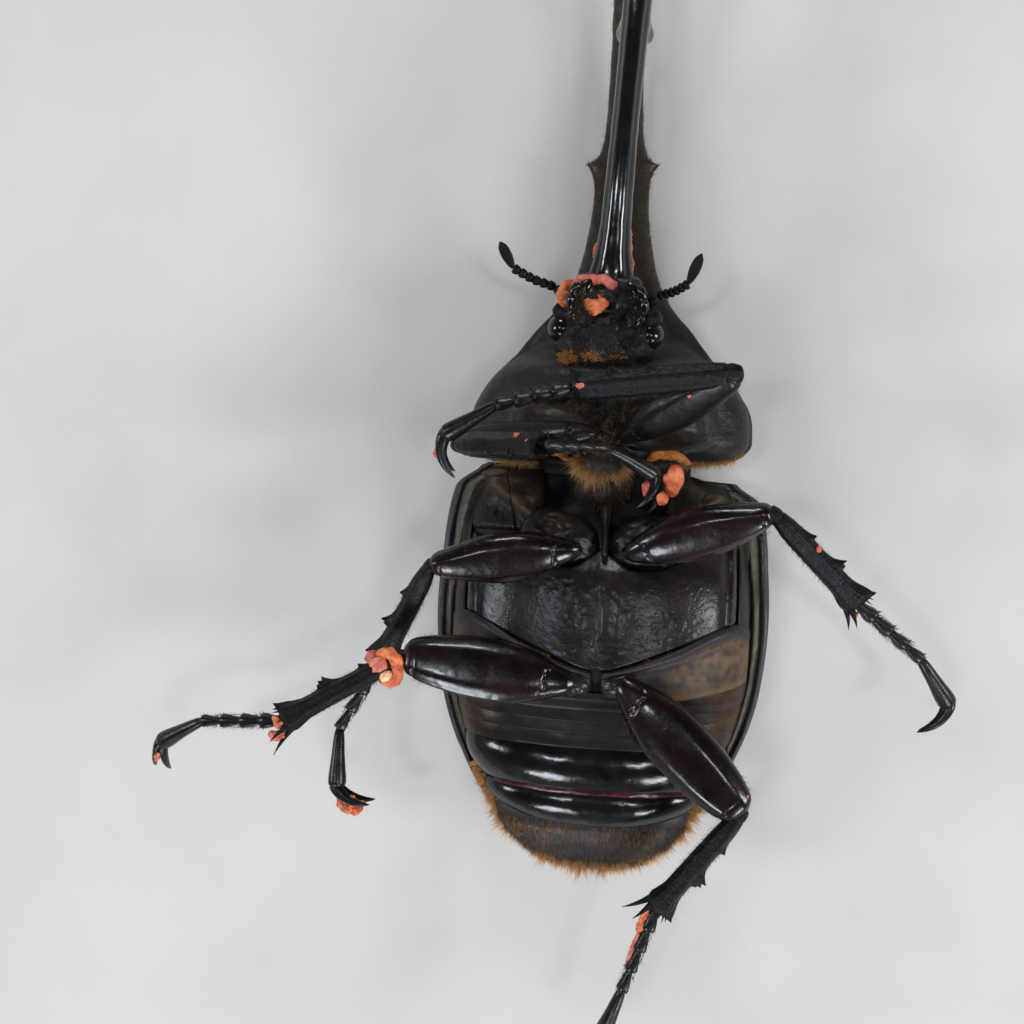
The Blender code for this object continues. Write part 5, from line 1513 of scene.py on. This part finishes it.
# Leg, its stretch, spots on it, width, thickness, 1 for the pink crust
LEG_CRUSTS = (
    ("hind", "right", 1, ((0.96, -1.2, 0.6), (1.01, -0.2, 0.9), (1.04, 0.9, 0.6)), 0.55, 0.4, 0),
    ("hind", "right", 1, ((1.02, -1.6, 0.2), (1.08, -1.2, 0.5), (1.12, -0.6, 0.5)), 0.5, 0.35, 1),
    ("hind", "left", 2, ((0.02, -0.8, 0.2), (0.16, -0.95, 0.3), (0.3, -0.85, 0.3)), 0.42, 0.35, 0),
    ("hind", "left", 2, ((0.3, -0.8, 0.3), (0.5, -0.75, 0.2), (0.74, -0.6, 0.2)), 0.28, 0.26, 1),
    ("mid", "right", 5, ((0.0, 0.3, 0.4), (0.4, 0.2, 0.5), (0.8, 0.1, 0.4)), 0.45, 0.3, 0),
    ("hind", "right", 4, ((0.5, 0.1, 0.4), (1.0, 0.2, 0.3)), 0.35, 0.25, 1),
    ("fore", "left", 4, ((0.5, 0.1, 0.3), (0.9, 0.1, 0.3)), 0.35, 0.25, 1),
    ("mid", "left", 1, ((0.40, 1.0, 0.7), (0.44, 1.1, 0.6)), 0.38, 0.3, 1),
    ("mid", "left", 1, ((0.97, -1.2, 0.2), (1.02, -1.3, 0.1), (1.08, -0.9, 0.1)), 0.4, 0.3, 0),
    ("fore", "right", 1, ((0.90, 0.8, 1.05), (0.95, 0.9, 1.0)), 0.32, 0.24, 1),
    ("fore", "right", 1, ((0.71, -0.1, 1.22), (0.78, 0.1, 1.2)), 0.34, 0.22, 1),
    ("fore", "left", 1, ((0.91, 0.6, 1.2), (0.96, 0.7, 1.15)), 0.3, 0.22, 1),
    ("fore", "left", 0, ((0.66, -1.2, 1.5), (0.7, -1.2, 1.48)), 0.28, 0.22, 1),
    ("hind", "left", 0, ((0.93, 1.9, 0.8), (0.95, 1.9, 0.7)), 0.3, 0.25, 0),
    ("hind", "left", 0, ((0.9, -1.9, 0.2), (0.96, -1.7, 0.1), (1.0, -1.2, 0.0)), 0.35, 0.3, 0))
for k, (pair, side_name, stretch, spots, width, thick, pink) in enumerate(LEG_CRUSTS):
    crust(f"crust_leg_{k + 1}", [leg_spot(pair, side_name, stretch, *spot) for spot in spots], width, thick,
          "pink_crust" if pink else "orange_crust", 10 + k, "leg", 40)


def lobe(name, centre, axes, degrees, tilt, look, seed):
    """Flat soft lump with a wrinkled outline, hung on a claw."""
    verts, faces = blob(centre, axes, 40, 56, turn_axes(degrees, tilt))
    away = unit(verts - np.array(centre))
    push = 0.2 * noise(verts + seed, 1.2, 3) + 0.1 * noise(verts + seed, 0.45, 2)
    verts = verts + away * push[:, None] * (1, 1, 0.6)
    piece(name, [(verts, faces)], look)


# The other crusts: points, width, thickness, finish, seed, then the slot
KNEE_CRUSTS = (
    ("ring", ((-26.1, -12.5, 26.9), (-24.9, -12.1, 27.2), (-23.7, -13.0, 27.2), (-23.5, -14.4, 26.9),
              (-24.6, -15.7, 26.4), (-25.8, -15.4, 26.5)), 0.72, 0.7, "orange_crust", 50),
    ("top", ((-27.0, -13.9, 26.9), (-25.9, -13.5, 27.3), (-24.9, -13.4, 27.4)), 0.8, 0.5, "pink_crust", 54),
    ("left", ((-27.5, -13.6, 26.5), (-27.0, -12.8, 26.6), (-26.2, -12.6, 26.9)), 0.7, 0.5, "pink_crust", 51))
for name, *row in KNEE_CRUSTS:
    crust(f"crust_knee_{name}", *row)
# Lobes: centre, half sizes, turn, tilt, finish, seed
LOBES = (("knee_pale", (-25.0, -14.9, 27.0), (0.75, 0.6, 0.45), 20, 0, "pale_crust", 9.0),
         ("claw_large", (8.0, 9.8, 25.7), (1.15, 1.85, 0.55), -12, 10, "orange_crust", 3.0),
         ("claw_small", (5.2, 8.6, 25.9), (0.85, 1.25, 0.5), 10, -8, "pink_crust", 5.0),
         ("claw_link", (6.8, 7.6, 26.4), (0.75, 0.7, 0.5), 0, 0, "orange_crust", 7.0))
for name, *row in LOBES:
    lobe(f"crust_{name}", *row)
LAST_CRUSTS = (
    ("claws_between", ((-30.6, -31.5, 19.9), (-29.5, -32.3, 20.0), (-28.2, -32.4, 20.1)),
     0.42, 0.34, "orange_crust", 52, "leg"),
    ("claws_under", ((-32.3, -32.3, 19.1), (-31.5, -33.2, 19.1), (-30.1, -33.5, 19.2), (-28.7, -33.2, 19.4)),
     0.6, 0.46, "orange_crust", 53, "leg"),
    ("horn_right", ((1.5, 41.4, 18.6), (1.55, 39.4, 18.2), (1.7, 37.8, 17.8), (2.1, 36.2, 17.4)),
     0.3, 0.22, "pink_crust", 40, "horn"),
    ("horn_left", ((-2.55, 39.6, 18.0), (-2.7, 38.6, 17.8), (-2.95, 37.6, 17.6)),
     0.24, 0.2, "orange_crust", 41, "horn"))
for name, *row in LAST_CRUSTS:
    crust(f"crust_{name}", *row)


# Lights, floor and surroundings

LIT_POINT = (0, 0, 0.01)
LIGHTS = (("light_left", (-0.85, -0.05, 0.52), (0.18, 0.26), 3.7, (0.88, 0.94, 1.0)),
          ("light_top_left", (-0.22, -0.06, 0.84), (0.06, 0.12), 1.15, (0.84, 0.92, 1.0)),
          ("light_top_right", (0.25, -0.12, 0.83), (0.06, 0.12), 1.0, (0.88, 0.94, 1.0)),
          ("light_right", (0.80, -0.12, 0.50), (0.17, 0.30), 4.7, (0.96, 0.98, 1.0)),
          ("light_tail_left", (-0.26, -0.80, 0.50), (0.26, 0.20), 4.2, (0.88, 0.94, 1.0)),
          ("light_tail_right", (0.42, -0.76, 0.50), (0.26, 0.20), 4.6, (0.90, 0.95, 1.0)),
          ("light_head", (-0.15, 0.95, 0.60), (0.26, 0.16), 4.5, (0.96, 0.98, 1.0)))


def soft_light(name, place, size, power, colour):
    data = bpy.data.lights.new(name, "AREA")
    data.shape = "RECTANGLE"
    data.size, data.size_y = size
    data.energy = power
    data.color = colour
    light = new_object(name, data)
    light.location = place
    light.rotation_mode = "QUATERNION"
    light.rotation_quaternion = (Vector(LIT_POINT) - Vector(place)).to_track_quat("-Z", "Y")


def floor_finish():
    material, tree, shader, place = surface("pale_floor", {"Specular IOR Level": 0.2})
    patch = levels(tree, speckle(tree, place, 0.02, 5.0), 0.3, 0.7)
    colour = blend_colours(tree, patch, (0.50, 0.475, 0.45), (0.56, 0.54, 0.515))
    fine = speckle(tree, place, 1.2, 4.0)
    dress(tree, shader, colour, levels(tree, fine, 0.3, 0.7, 0.6, 0.8), fine, 0.15, 0.0003)
    return material


def make_floor():
    half = 1.5
    mesh = bpy.data.meshes.new("floor")
    mesh.from_pydata([(-half, -half, 0), (half, -half, 0), (half, half, 0), (-half, half, 0)], [],
                     [(0, 1, 2, 3)])
    mesh.materials.append(floor_finish())
    new_object("floor", mesh)


make_floor()
for row in LIGHTS:
    soft_light(*row)


def make_surroundings():
    """Pale all round and darker overhead, so that what lies level stays deep black."""
    world = bpy.data.worlds.new("surroundings")
    world.use_nodes = True
    tree = world.node_tree
    background = tree.nodes["Background"]
    direction = add(tree, "ShaderNodeTexCoord").outputs["Generated"]
    height = add(tree, "ShaderNodeSeparateXYZ", {"Vector": direction}).outputs["Z"]
    level = levels(tree, height, 0.15, 0.6)
    colour = blend_colours(tree, level, (0.30, 0.312, 0.325), (0.010, 0.011, 0.013))
    tree.links.new(colour, background.inputs["Color"])
    background.inputs["Strength"].default_value = 1.0
    bpy.context.scene.world = world


make_surroundings()
bpy.context.scene.view_settings.view_transform = "Standard"
